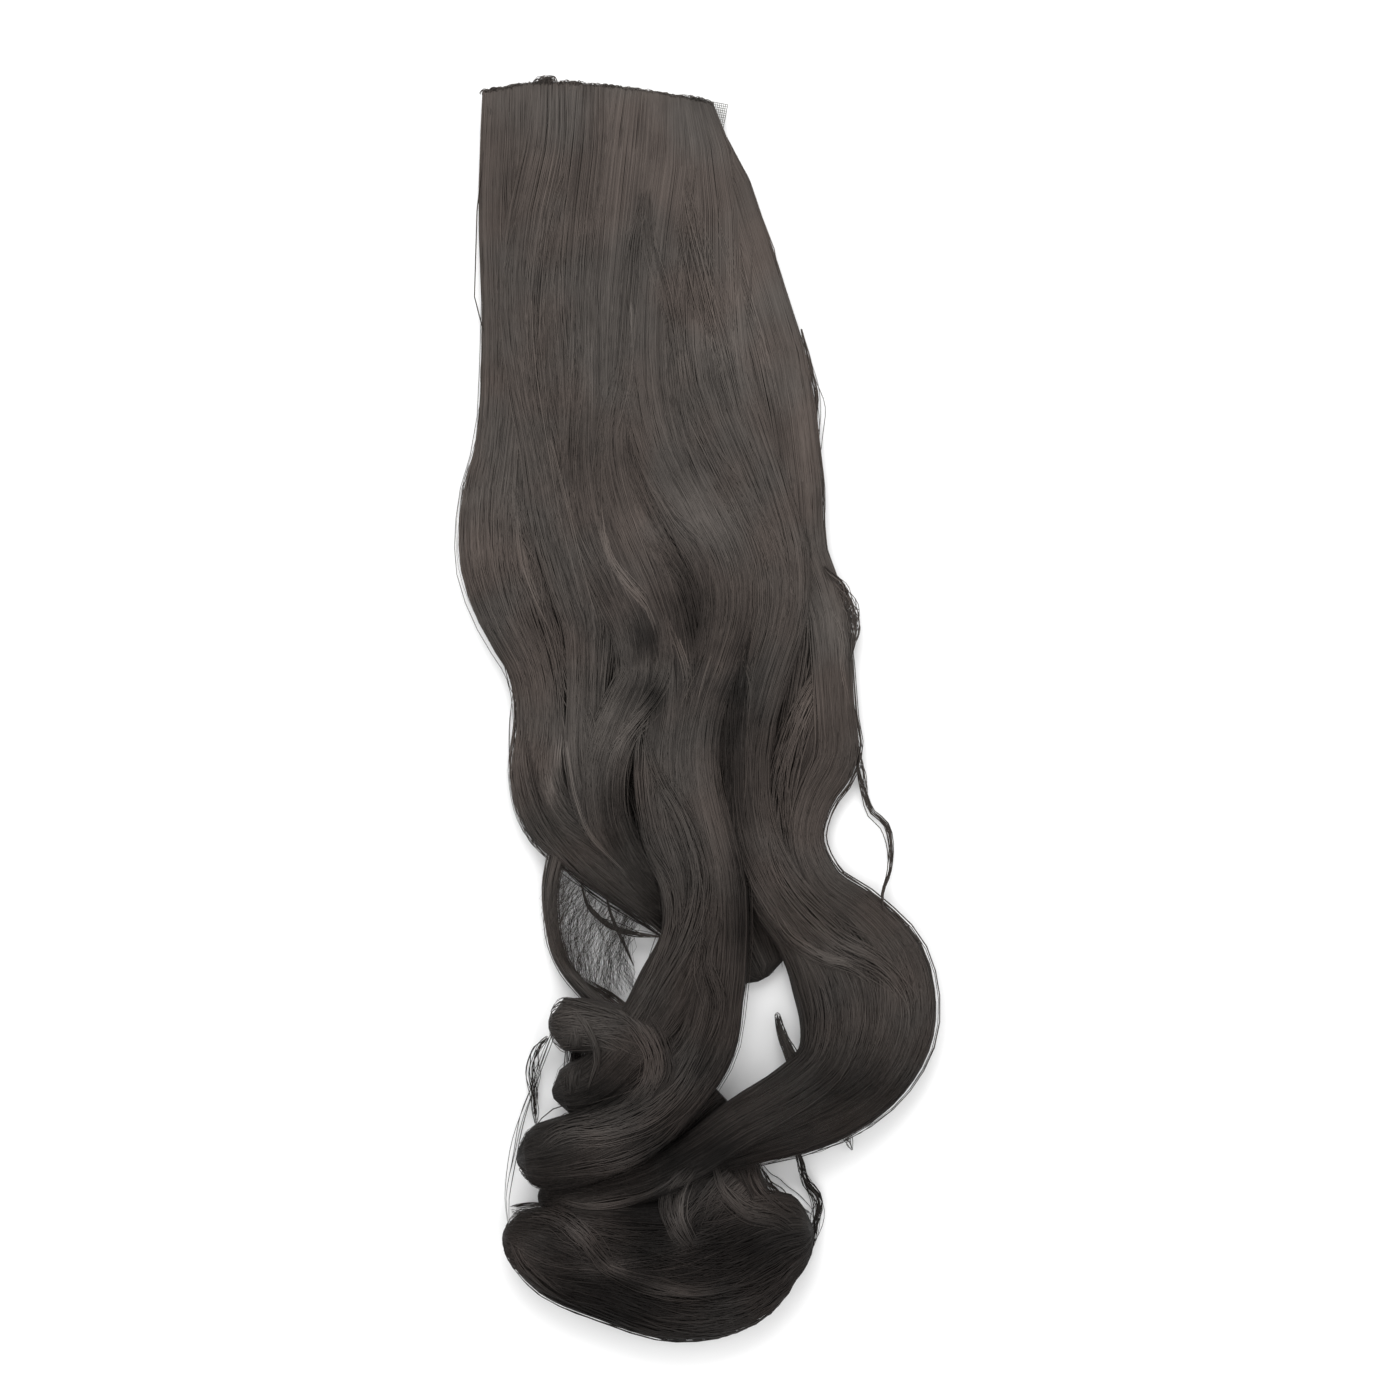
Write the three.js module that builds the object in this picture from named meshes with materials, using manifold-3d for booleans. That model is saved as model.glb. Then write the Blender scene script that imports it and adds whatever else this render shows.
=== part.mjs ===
// Clip-in hairpiece laid flat: a stitched weft band, long waved hair, a lace tape and two snap clips.
// Millimetres, +X to the right, +Y towards the band, +Z up from the surface that it lies on.
import * as THREE from "three";
import { mergeVertices } from "three/addons/utils/BufferGeometryUtils.js";
import Module from "manifold-3d";

const wasm = await Module();
wasm.setup();

// Overall sizes of the loose hair as it lies.
const HAIR_LENGTH = 625;
const LAYOUT_WIDTH = 250;
const PILE_HEIGHT = 40;

// Sizes of one lock where its share in a table is 1.
const LOCK_WIDTH = 25;
const LOCK_THICKNESS = 10;

// Band, tape and clips.
const BAND_WIDTH = 114;
const BAND_DEPTH = 12;
const BAND_THICKNESS = 3.6;
const TAPE_DEPTH = 14;
const TAPE_THICKNESS = 1.2;
const TAPE_INSET = 3;
const TAPE_OVERHANG = 7;
const CLIP_LENGTH = 32;
const CLIP_DEPTH = 10;
const CLIP_THICKNESS = 3.2;
const CLIP_RIM = 2;
const CLEARANCE = 0.3;

// How finely the swept shapes are divided.
const LOCK_SIDES = 10;
const RING_SPACING = 16;
const STRIP_SIDES = 8;
const STRIP_STEPS = 12;
const TIP_ANGLES = [30, 60, 78];

// Squareness of a section: 2 is an ellipse, larger values come closer to a box.
const ROUND_EXPONENT = 2;
const SOFT_BOX_EXPONENT = 8;
const BOX_EXPONENT = 60;

const BAND_START = CLEARANCE;
const BAND_END = BAND_START + BAND_WIDTH;
const TAPE_HEIGHT = CLIP_THICKNESS + CLEARANCE + TAPE_THICKNESS / 2;
const BAND_HEIGHT = TAPE_HEIGHT + TAPE_THICKNESS / 2 + CLEARANCE + BAND_THICKNESS / 2;

// Each row is one section of a lock, from its root to its tip: across and down are the place of the
// middle as shares of LAYOUT_WIDTH and HAIR_LENGTH, up its height as a share of PILE_HEIGHT, wide and
// thick the section as shares of LOCK_WIDTH and LOCK_THICKNESS.
const LOCKS = {
  under_sheet: {
    rounded: ["tip"],
    rows: [
      [0.304, 0.013, 0.170, 4.12, 0.30],
      [0.316, 0.048, 0.140, 4.52, 0.50],
      [0.340, 0.112, 0.115, 5.24, 0.80],
      [0.372, 0.192, 0.113, 5.80, 0.90],
      [0.388, 0.272, 0.113, 6.08, 0.90],
      [0.396, 0.344, 0.113, 6.32, 0.90],
      [0.424, 0.408, 0.113, 6.48, 0.90],
      [0.464, 0.464, 0.113, 6.20, 0.90],
      [0.468, 0.516, 0.113, 5.88, 0.90],
      [0.468, 0.560, 0.113, 5.20, 0.90],
      [0.484, 0.600, 0.113, 4.40, 0.90],
      [0.524, 0.636, 0.113, 3.20, 0.90],
      [0.580, 0.676, 0.113, 2.20, 0.90],
      [0.628, 0.712, 0.113, 1.60, 0.90],
    ],
  },
  under_lock: {
    rounded: ["tip"],
    rows: [
      [0.524, 0.584, 0.125, 1.80, 0.90],
      [0.544, 0.648, 0.140, 1.44, 1.00],
      [0.528, 0.708, 0.150, 1.00, 1.10],
      [0.480, 0.764, 0.175, 1.00, 1.30],
      [0.480, 0.816, 0.200, 1.20, 1.50],
      [0.536, 0.852, 0.250, 1.40, 1.80],
      [0.572, 0.888, 0.300, 1.44, 2.00],
      [0.604, 0.920, 0.325, 1.52, 2.20],
    ],
  },
  bottom_roll: {
    rounded: ["root", "tip"],
    rows: [
      [0.726, 0.912, 0.300, 1.20, 2.00],
      [0.652, 0.918, 0.330, 2.00, 2.50],
      [0.550, 0.936, 0.360, 2.84, 2.90],
      [0.444, 0.942, 0.375, 2.92, 3.00],
      [0.330, 0.936, 0.375, 2.52, 2.90],
      [0.224, 0.928, 0.360, 2.08, 2.70],
      [0.152, 0.919, 0.340, 1.38, 2.40],
      [0.106, 0.916, 0.300, 1.00, 2.00],
    ],
  },
  under_roll: {
    rounded: ["tip"],
    rows: [
      [0.560, 0.812, 0.200, 1.60, 1.40],
      [0.470, 0.844, 0.225, 1.92, 1.60],
      [0.370, 0.868, 0.250, 1.84, 1.80],
      [0.260, 0.882, 0.250, 1.40, 1.80],
      [0.176, 0.888, 0.225, 1.00, 1.60],
    ],
  },
  roll_tip: {
    rounded: ["tip"],
    rows: [
      [0.560, 0.866, 0.400, 1.20, 1.40],
      [0.512, 0.885, 0.500, 1.08, 1.20],
      [0.484, 0.901, 0.600, 0.80, 1.00],
      [0.476, 0.918, 0.650, 0.36, 0.60],
    ],
  },
  left_edge: {
    rounded: ["tip"],
    rows: [
      [0.116, 0.011, 0.175, 0.92, 0.36],
      [0.113, 0.048, 0.140, 0.98, 0.80],
      [0.106, 0.096, 0.125, 0.92, 0.95],
      [0.110, 0.160, 0.125, 0.88, 1.00],
      [0.112, 0.224, 0.130, 1.00, 1.10],
      [0.104, 0.280, 0.140, 1.04, 1.20],
      [0.090, 0.328, 0.150, 1.40, 1.30],
      [0.096, 0.376, 0.160, 1.60, 1.40],
      [0.126, 0.420, 0.175, 1.44, 1.40],
      [0.170, 0.462, 0.175, 1.16, 1.40],
      [0.184, 0.504, 0.160, 1.10, 1.30],
      [0.176, 0.548, 0.160, 1.16, 1.30],
      [0.208, 0.585, 0.190, 1.24, 1.50],
      [0.300, 0.615, 0.210, 1.16, 1.70],
      [0.390, 0.643, 0.200, 1.00, 1.50],
      [0.480, 0.668, 0.175, 0.76, 1.10],
    ],
  },
  left_fall: {
    rounded: ["tip"],
    rows: [
      [0.204, 0.008, 0.175, 1.00, 0.36],
      [0.200, 0.048, 0.225, 1.16, 0.80],
      [0.170, 0.104, 0.250, 1.20, 1.00],
      [0.158, 0.168, 0.260, 1.20, 1.10],
      [0.172, 0.232, 0.275, 1.24, 1.10],
      [0.198, 0.288, 0.290, 1.28, 1.20],
      [0.224, 0.344, 0.300, 1.44, 1.20],
      [0.258, 0.392, 0.300, 1.44, 1.20],
      [0.284, 0.432, 0.300, 1.28, 1.20],
      [0.280, 0.480, 0.290, 1.00, 1.20],
      [0.278, 0.528, 0.275, 1.00, 1.20],
      [0.304, 0.574, 0.260, 1.04, 1.30],
      [0.364, 0.618, 0.260, 1.00, 1.30],
      [0.450, 0.652, 0.250, 0.80, 1.10],
    ],
  },
  centre_left: {
    rounded: ["tip"],
    rows: [
      [0.288, 0.008, 0.175, 1.00, 0.36],
      [0.284, 0.048, 0.240, 1.16, 0.80],
      [0.266, 0.112, 0.300, 1.20, 1.00],
      [0.258, 0.176, 0.310, 1.24, 1.10],
      [0.264, 0.240, 0.325, 1.24, 1.10],
      [0.262, 0.296, 0.340, 1.20, 1.20],
      [0.280, 0.348, 0.350, 1.16, 1.20],
      [0.324, 0.392, 0.375, 1.12, 1.20],
      [0.368, 0.432, 0.400, 1.08, 1.30],
      [0.376, 0.468, 0.425, 1.00, 1.30],
      [0.344, 0.500, 0.425, 1.00, 1.30],
      [0.312, 0.540, 0.400, 0.96, 1.20],
      [0.312, 0.580, 0.375, 0.92, 1.20],
      [0.352, 0.618, 0.340, 0.84, 1.10],
      [0.424, 0.652, 0.300, 0.64, 0.90],
    ],
  },
  centre: {
    rounded: ["tip"],
    rows: [
      [0.368, 0.010, 0.175, 1.00, 0.36],
      [0.356, 0.052, 0.250, 1.16, 0.80],
      [0.340, 0.112, 0.300, 1.16, 1.00],
      [0.326, 0.176, 0.310, 1.12, 1.10],
      [0.322, 0.236, 0.325, 1.08, 1.10],
      [0.316, 0.288, 0.340, 1.04, 1.20],
      [0.344, 0.340, 0.350, 1.32, 1.20],
      [0.396, 0.388, 0.360, 1.48, 1.30],
      [0.436, 0.432, 0.375, 1.36, 1.30],
      [0.450, 0.480, 0.390, 1.28, 1.40],
      [0.436, 0.532, 0.390, 1.44, 1.40],
      [0.448, 0.580, 0.400, 1.52, 1.50],
      [0.484, 0.628, 0.425, 1.48, 1.50],
      [0.490, 0.676, 0.450, 1.44, 1.60],
      [0.446, 0.720, 0.450, 1.60, 1.80],
      [0.380, 0.758, 0.425, 1.32, 2.40],
      [0.308, 0.788, 0.400, 1.24, 2.80],
      [0.256, 0.798, 0.375, 1.16, 2.80],
      [0.206, 0.803, 0.375, 1.12, 2.60],
    ],
  },
  knob_curl: {
    rounded: ["tip"],
    rows: [
      [0.400, 0.766, 0.425, 1.20, 2.20],
      [0.320, 0.752, 0.450, 1.20, 2.20],
      [0.256, 0.747, 0.425, 1.16, 2.00],
      [0.198, 0.747, 0.400, 1.10, 1.80],
    ],
  },
  centre_right: {
    rounded: ["tip"],
    rows: [
      [0.444, 0.011, 0.175, 1.00, 0.36],
      [0.432, 0.060, 0.250, 1.16, 0.80],
      [0.412, 0.120, 0.300, 1.16, 1.00],
      [0.400, 0.180, 0.310, 1.16, 1.10],
      [0.402, 0.236, 0.325, 1.20, 1.10],
      [0.432, 0.288, 0.340, 1.28, 1.20],
      [0.488, 0.334, 0.350, 1.36, 1.30],
      [0.544, 0.376, 0.360, 1.36, 1.30],
      [0.560, 0.414, 0.390, 1.28, 1.30],
      [0.536, 0.456, 0.410, 1.16, 1.30],
      [0.502, 0.496, 0.425, 1.08, 1.30],
      [0.494, 0.540, 0.425, 1.04, 1.30],
      [0.516, 0.584, 0.440, 1.04, 1.30],
      [0.544, 0.628, 0.460, 1.04, 1.40],
      [0.548, 0.676, 0.500, 1.08, 1.50],
      [0.536, 0.720, 0.550, 1.12, 1.60],
      [0.506, 0.766, 0.600, 1.32, 1.80],
      [0.420, 0.808, 0.625, 1.44, 2.20],
      [0.324, 0.835, 0.575, 1.52, 2.80],
      [0.232, 0.848, 0.500, 1.52, 3.20],
      [0.164, 0.853, 0.450, 1.36, 3.00],
      [0.136, 0.854, 0.425, 1.20, 2.80],
    ],
  },
  right_fall: {
    rounded: ["tip"],
    rows: [
      [0.508, 0.014, 0.175, 0.88, 0.36],
      [0.516, 0.060, 0.210, 1.12, 0.80],
      [0.520, 0.120, 0.260, 1.28, 1.00],
      [0.520, 0.180, 0.290, 1.40, 1.10],
      [0.536, 0.236, 0.300, 1.52, 1.20],
      [0.584, 0.288, 0.310, 1.44, 1.20],
      [0.628, 0.332, 0.310, 1.32, 1.20],
      [0.660, 0.376, 0.325, 1.24, 1.20],
      [0.660, 0.420, 0.340, 1.16, 1.30],
      [0.628, 0.464, 0.350, 1.12, 1.30],
      [0.598, 0.508, 0.350, 1.08, 1.40],
      [0.590, 0.552, 0.350, 1.08, 1.40],
      [0.604, 0.596, 0.350, 1.16, 1.50],
      [0.652, 0.640, 0.325, 1.36, 1.60],
      [0.720, 0.674, 0.300, 1.56, 1.70],
      [0.768, 0.708, 0.275, 1.88, 1.80],
      [0.786, 0.746, 0.275, 1.84, 1.80],
      [0.756, 0.782, 0.325, 1.52, 1.80],
      [0.676, 0.806, 0.450, 1.32, 1.70],
      [0.584, 0.825, 0.550, 1.16, 1.60],
      [0.496, 0.848, 0.550, 1.00, 1.50],
      [0.400, 0.870, 0.450, 0.84, 1.40],
      [0.300, 0.882, 0.375, 0.68, 1.20],
      [0.212, 0.885, 0.325, 0.52, 1.00],
    ],
  },
  right_edge: {
    rounded: ["tip"],
    rows: [
      [0.508, 0.018, 0.175, 0.68, 0.36],
      [0.546, 0.060, 0.150, 0.76, 0.70],
      [0.584, 0.112, 0.140, 0.84, 0.90],
      [0.624, 0.168, 0.140, 0.96, 1.10],
      [0.662, 0.224, 0.150, 1.04, 1.20],
      [0.682, 0.276, 0.160, 1.04, 1.30],
      [0.698, 0.324, 0.160, 1.00, 1.30],
      [0.706, 0.366, 0.160, 0.92, 1.30],
      [0.744, 0.414, 0.160, 0.96, 1.30],
      [0.754, 0.452, 0.160, 1.04, 1.30],
      [0.758, 0.494, 0.160, 1.08, 1.30],
      [0.758, 0.532, 0.160, 1.28, 1.30],
      [0.716, 0.566, 0.175, 1.08, 1.40],
      [0.700, 0.602, 0.175, 1.00, 1.40],
      [0.740, 0.639, 0.190, 1.08, 1.50],
      [0.816, 0.664, 0.200, 1.24, 1.60],
      [0.882, 0.701, 0.225, 1.56, 1.80],
      [0.890, 0.750, 0.250, 1.68, 1.90],
      [0.840, 0.792, 0.300, 1.44, 1.80],
      [0.732, 0.820, 0.400, 1.36, 1.70],
      [0.612, 0.838, 0.475, 1.04, 1.50],
      [0.508, 0.854, 0.475, 0.76, 1.20],
    ],
  },
  side_strand: {
    rounded: ["tip"],
    rows: [
      [0.220, 0.602, 0.250, 0.40, 0.80],
      [0.200, 0.638, 0.150, 0.34, 0.60],
      [0.204, 0.674, 0.125, 0.34, 0.60],
      [0.228, 0.702, 0.150, 0.30, 0.60],
      [0.272, 0.723, 0.275, 0.30, 0.60],
      [0.320, 0.739, 0.425, 0.36, 0.70],
      [0.368, 0.762, 0.550, 0.40, 0.70],
    ],
  },
  inner_tuft: {
    rounded: ["tip"],
    rows: [
      [0.712, 0.795, 0.400, 0.40, 1.00],
      [0.684, 0.773, 0.300, 0.28, 0.70],
      [0.664, 0.755, 0.200, 0.18, 0.50],
      [0.654, 0.739, 0.125, 0.10, 0.30],
    ],
  },
};

// The middle line of the band and on past its right end, as shares of LAYOUT_WIDTH and HAIR_LENGTH.
const BAND_LINE = [
  [0.070, 0.010],
  [0.150, 0.004],
  [0.220, 0.003],
  [0.300, 0.005],
  [0.400, 0.010],
  [0.522, 0.018],
  [0.700, 0.032],
];

// Where each clip's middle sits, as a share of the band's length.
const CLIP_PLACES = {
  clip_left: 0.24,
  clip_right: 0.76,
};

function placeInLayout(across, down, height) {
  const x = (across - 0.5) * LAYOUT_WIDTH;
  const y = (0.5 - down) * HAIR_LENGTH;
  return new THREE.Vector3(x, y, height);
}

function toManifold(geometry) {
  geometry.deleteAttribute("normal");
  geometry.deleteAttribute("uv");
  const joined = mergeVertices(geometry, 1e-4);
  const mesh = new wasm.Mesh({
    numProp: 3,
    vertProperties: new Float32Array(joined.attributes.position.array),
    triVerts: new Uint32Array(joined.index.array),
  });
  return new wasm.Manifold(mesh);
}

function toGeometry(solid) {
  const mesh = solid.getMesh();
  const geometry = new THREE.BufferGeometry();
  geometry.setAttribute("position", new THREE.BufferAttribute(new Float32Array(mesh.vertProperties), 3));
  geometry.setIndex(new THREE.BufferAttribute(new Uint32Array(mesh.triVerts), 1));
  return geometry;
}

function largestPart(solid) {
  const parts = solid.decompose();
  parts.sort((one, other) => other.volume() - one.volume());
  return parts[0];
}

// The rings of a sweep: evenly spaced along the path, then closer together where an end is rounded.
function ringList(path, sizes, rounded) {
  const length = path.getLength();
  const startReach = rounded.includes("root") ? sizes.getPoint(0).y / 2 / length : 0;
  const endReach = rounded.includes("tip") ? sizes.getPoint(1).y / 2 / length : 0;
  const count = Math.ceil(length / RING_SPACING);
  const rings = [];
  for (let step = 0; step <= count; step += 1) {
    const reach = startReach + (1 - startReach - endReach) * (step / count);
    rings.push({ share: path.getUtoTmapping(reach), scale: 1 });
  }
  for (const angle of TIP_ANGLES) {
    const turn = THREE.MathUtils.degToRad(angle);
    const left = 1 - Math.sin(turn);
    const scale = Math.cos(turn);
    if (endReach > 0) {
      rings.push({ share: path.getUtoTmapping(1 - endReach * left), scale });
    }
    if (startReach > 0) {
      rings.unshift({ share: path.getUtoTmapping(startReach * left), scale });
    }
  }
  return rings;
}

// A closed tube along a path: x of a size is the width, y the thickness.
function sweep(path, sizes, rings, sides, squareness) {
  const frames = [];
  const up = new THREE.Vector3(0, 0, 1);
  for (const ring of rings) {
    const tangent = path.getTangent(ring.share);
    up.addScaledVector(tangent, -up.dot(tangent)).normalize();
    frames.push({
      middle: path.getPoint(ring.share),
      size: sizes.getPoint(ring.share),
      side: new THREE.Vector3().crossVectors(up, tangent),
      up: up.clone(),
      scale: ring.scale,
    });
  }
  const geometry = new THREE.CylinderGeometry(1, 1, 1, sides, rings.length - 1);
  const place = geometry.attributes.position;
  const point = new THREE.Vector3();
  for (let index = 0; index < place.count; index += 1) {
    point.fromBufferAttribute(place, index);
    const frame = frames[Math.round((0.5 - point.y) * (rings.length - 1))];
    const radius = Math.hypot(point.x, point.z);
    const power = Math.abs(point.x) ** squareness + Math.abs(point.z) ** squareness;
    const reach = radius > 0.5 ? frame.scale / power ** (1 / squareness) : 0;
    const across = point.x * reach * frame.size.x / 2;
    const above = point.z * reach * frame.size.y / 2;
    point.copy(frame.middle).addScaledVector(frame.side, across).addScaledVector(frame.up, above);
    place.setXYZ(index, point.x, point.y, point.z);
  }
  return toManifold(geometry);
}

function buildLock(lock) {
  const middles = [];
  const sections = [];
  for (const [across, down, up, wide, thick] of lock.rows) {
    middles.push(placeInLayout(across, down, up * PILE_HEIGHT));
    sections.push(new THREE.Vector3(wide * LOCK_WIDTH, thick * LOCK_THICKNESS, 0));
  }
  const path = new THREE.CatmullRomCurve3(middles, false, "catmullrom", 0.5);
  const sizes = new THREE.CatmullRomCurve3(sections, false, "catmullrom", 0.5);
  const rings = ringList(path, sizes, lock.rounded);
  return sweep(path, sizes, rings, LOCK_SIDES, ROUND_EXPONENT);
}

// The line that the band and the tape follow, carried on past the right end.
function bandPath(height) {
  const points = BAND_LINE.map(([across, down]) => placeInLayout(across, down, height));
  return new THREE.CatmullRomCurve3(points, false, "catmullrom", 0.5);
}

// A strip along the band's line, between two distances from its left end.
function buildStrip(height, depth, thickness, start, end, squareness) {
  const path = bandPath(height);
  const length = path.getLength();
  const section = new THREE.Vector3(depth, thickness, 0);
  const sizes = new THREE.CatmullRomCurve3([section, section.clone()]);
  const rings = [];
  for (let step = 0; step <= STRIP_STEPS; step += 1) {
    const distance = start + (end - start) * (step / STRIP_STEPS);
    rings.push({ share: path.getUtoTmapping(distance / length), scale: 1 });
  }
  return sweep(path, sizes, rings, STRIP_SIDES, squareness);
}

// A snap clip: a plate with rounded ends and two long windows, so that three bars are left.
function buildClip(share) {
  const outer = CLIP_DEPTH / 2;
  const half = CLIP_LENGTH / 2 - outer;
  const shape = new THREE.Shape();
  shape.absarc(half, 0, outer, -Math.PI / 2, Math.PI / 2, false);
  shape.absarc(-half, 0, outer, Math.PI / 2, Math.PI * 1.5, false);
  shape.closePath();
  const window = (CLIP_DEPTH - 3 * CLIP_RIM) / 2;
  for (const sign of [-1, 1]) {
    const middle = sign * (CLIP_RIM + window) / 2;
    const hole = new THREE.Path();
    hole.absarc(half, middle, window / 2, -Math.PI / 2, Math.PI / 2, false);
    hole.absarc(-half, middle, window / 2, Math.PI / 2, Math.PI * 1.5, false);
    hole.closePath();
    shape.holes.push(hole);
  }
  const geometry = new THREE.ExtrudeGeometry(shape, {
    depth: CLIP_THICKNESS,
    bevelEnabled: false,
    curveSegments: 6,
  });
  const path = bandPath(0);
  const reach = (BAND_START + share * BAND_WIDTH) / path.getLength();
  const middle = path.getPointAt(reach);
  const tangent = path.getTangentAt(reach);
  geometry.rotateZ(Math.atan2(tangent.y, tangent.x));
  geometry.translate(middle.x, middle.y, 0);
  return toManifold(geometry);
}

function buildHair() {
  let hair = null;
  for (const lock of Object.values(LOCKS)) {
    const body = buildLock(lock);
    hair = hair ? hair.add(body) : body;
  }
  const floorBlock = new THREE.BoxGeometry(LAYOUT_WIDTH * 2, HAIR_LENGTH * 2, PILE_HEIGHT);
  floorBlock.translate(0, 0, -PILE_HEIGHT / 2);
  hair = hair.subtract(toManifold(floorBlock));
  const roomEnd = BAND_END + TAPE_OVERHANG + CLEARANCE;
  const bandRoomDepth = BAND_DEPTH + CLEARANCE * 2;
  const bandRoom = buildStrip(BAND_HEIGHT, bandRoomDepth, PILE_HEIGHT, 0, roomEnd, BOX_EXPONENT);
  const tapeTop = TAPE_HEIGHT + TAPE_THICKNESS / 2 + CLEARANCE;
  const tapeRoom = buildStrip(0, TAPE_DEPTH + CLEARANCE * 2, tapeTop * 2, 0, roomEnd, BOX_EXPONENT);
  return largestPart(hair.subtract(bandRoom).subtract(tapeRoom));
}

function buildBand() {
  return buildStrip(BAND_HEIGHT, BAND_DEPTH, BAND_THICKNESS, BAND_START, BAND_END, SOFT_BOX_EXPONENT);
}

function buildTape() {
  const start = BAND_START + TAPE_INSET;
  const end = BAND_END + TAPE_OVERHANG;
  return buildStrip(TAPE_HEIGHT, TAPE_DEPTH, TAPE_THICKNESS, start, end, SOFT_BOX_EXPONENT);
}

const PIECES = {
  hair: { solid: buildHair(), colour: 0x3a3028 },
  weft_band: { solid: buildBand(), colour: 0x4a3c33 },
  lace_tape: { solid: buildTape(), colour: 0x8b8f7c },
  clip_left: { solid: buildClip(CLIP_PLACES.clip_left), colour: 0x241f1c },
  clip_right: { solid: buildClip(CLIP_PLACES.clip_right), colour: 0x241f1c },
};

const hairpiece = new THREE.Group();
hairpiece.name = "hairpiece";
for (const [name, piece] of Object.entries(PIECES)) {
  const material = new THREE.MeshStandardMaterial({ color: piece.colour, roughness: 0.6 });
  const mesh = new THREE.Mesh(toGeometry(piece.solid), material);
  mesh.name = name;
  hairpiece.add(mesh);
}

// The origin is moved under the middle of the whole piece, on the surface.
const bounds = new THREE.Box3();
for (const mesh of hairpiece.children) {
  mesh.geometry.computeBoundingBox();
  bounds.union(mesh.geometry.boundingBox);
}
const centre = bounds.getCenter(new THREE.Vector3());
for (const mesh of hairpiece.children) {
  mesh.geometry.translate(-centre.x, -centre.y, -bounds.min.z);
  mesh.geometry.computeVertexNormals();
}

export default hairpiece;
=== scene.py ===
"""A long waved clip-in hairpiece, laid flat on a pale surface.

It is laid out as an add-on and run as a script. All lengths are in metres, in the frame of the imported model:
+X to the right of the laid-out hair, +Y towards the stitched band, +Z up from the surface.
"""

import math

import bmesh
import bpy
import numpy as np
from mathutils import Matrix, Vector
from mathutils.bvhtree import BVHTree


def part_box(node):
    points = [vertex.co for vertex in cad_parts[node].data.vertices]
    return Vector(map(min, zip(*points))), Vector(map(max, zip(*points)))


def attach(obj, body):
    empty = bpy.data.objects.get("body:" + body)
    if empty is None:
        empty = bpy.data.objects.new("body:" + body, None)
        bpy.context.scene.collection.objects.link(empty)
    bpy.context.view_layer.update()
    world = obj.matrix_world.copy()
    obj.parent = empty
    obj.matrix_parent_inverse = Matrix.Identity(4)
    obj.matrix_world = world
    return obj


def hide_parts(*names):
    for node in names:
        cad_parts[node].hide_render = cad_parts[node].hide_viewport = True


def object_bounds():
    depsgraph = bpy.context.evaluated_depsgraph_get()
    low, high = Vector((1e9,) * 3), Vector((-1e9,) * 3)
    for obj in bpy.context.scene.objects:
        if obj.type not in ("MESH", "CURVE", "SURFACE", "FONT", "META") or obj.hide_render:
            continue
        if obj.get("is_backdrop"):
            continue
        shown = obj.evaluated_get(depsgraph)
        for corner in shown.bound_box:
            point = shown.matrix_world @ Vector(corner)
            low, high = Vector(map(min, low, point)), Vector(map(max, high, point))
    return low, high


bl_info = {
    "name": "Clip-in hairpiece",
    "version": (1, 0, 0),
    "blender": (4, 5, 0),
    "location": "View3D > Sidebar > Hairpiece",
    "description": "Builds a long waved clip-in hairpiece over its packed solids",
    "category": "Object",
}

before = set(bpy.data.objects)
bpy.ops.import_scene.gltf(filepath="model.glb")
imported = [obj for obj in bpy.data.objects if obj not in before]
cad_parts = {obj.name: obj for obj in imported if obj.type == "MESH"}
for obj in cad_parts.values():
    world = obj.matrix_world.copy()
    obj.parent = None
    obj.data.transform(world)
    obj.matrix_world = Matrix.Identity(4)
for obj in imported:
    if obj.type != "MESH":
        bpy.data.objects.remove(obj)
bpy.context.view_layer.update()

# Overall sizes of the loose hair, as the solids have them.
HAIR_LENGTH = 0.625
LAYOUT_WIDTH = 0.250
PILE_HEIGHT = 0.040
LOCK_WIDTH = 0.025
LOCK_THICKNESS = 0.010

# Band, tape and clips, as the solids have them.
BAND_WIDTH = 0.114
BAND_DEPTH = 0.012
BAND_THICKNESS = 0.0036
TAPE_DEPTH = 0.014
TAPE_THICKNESS = 0.0012
TAPE_INSET = 0.003
TAPE_OVERHANG = 0.007
CLIP_THICKNESS = 0.0032
CLEARANCE = 0.0003
CLIP_LEFT_PLACE = 0.24

BAND_START = CLEARANCE
BAND_END = BAND_START + BAND_WIDTH
TAPE_HEIGHT = CLIP_THICKNESS + CLEARANCE + TAPE_THICKNESS / 2
BAND_HEIGHT = TAPE_HEIGHT + TAPE_THICKNESS / 2 + CLEARANCE + BAND_THICKNESS / 2
BAND_TOP = BAND_HEIGHT + BAND_THICKNESS / 2

# The body of hair: how far its tubes lie inside the locks, how far apart their rings are, how many corners
# each has, and the height that the body is cut level at.
BODY_INSET = 0.0009
BODY_SPACING = 0.006
BODY_CORNERS = 22
BODY_FLOOR = 0.0003

# Hair at the right end of the band is drawn in by this much there. It fades over the depth below the band
# and over the reach towards the left.
DRAWN_IN = 0.0072
DRAWN_IN_DEPTH = 0.016
DRAWN_IN_REACH = 0.0375

# A strand is a tube of three corners, whose radius is this share of its width. The strands of the locks
# are flatter than they are wide, and turn by up to STRAND_TURN either way.
STRAND_CORNERS = 3
STRAND_RADIUS = 0.58
STRAND_FLATNESS = 0.7
STRAND_TURN = 0.6
LOWEST_STRAND = 0.0005

# Tones run from dark at 0 to light at 1, and up to here where a painted highlight lies on the hair.
BRIGHTEST_TONE = 1.7

# Specular level of the hair, which is lower than that of smooth plastic.
HAIR_GLOSS = 0.06

# How many even steps the band's line and a lock's line are read at, and how many rings a strand of a loose
# wave has.
BAND_STEPS = 400
LINE_STEPS = 240
WAVE_RINGS = 22

# The net of the lace tape: cells along and across it, and the width of one thread.
LACE_COLUMNS = 120
LACE_LINES = 12
LACE_THREAD = 0.00042

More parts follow.
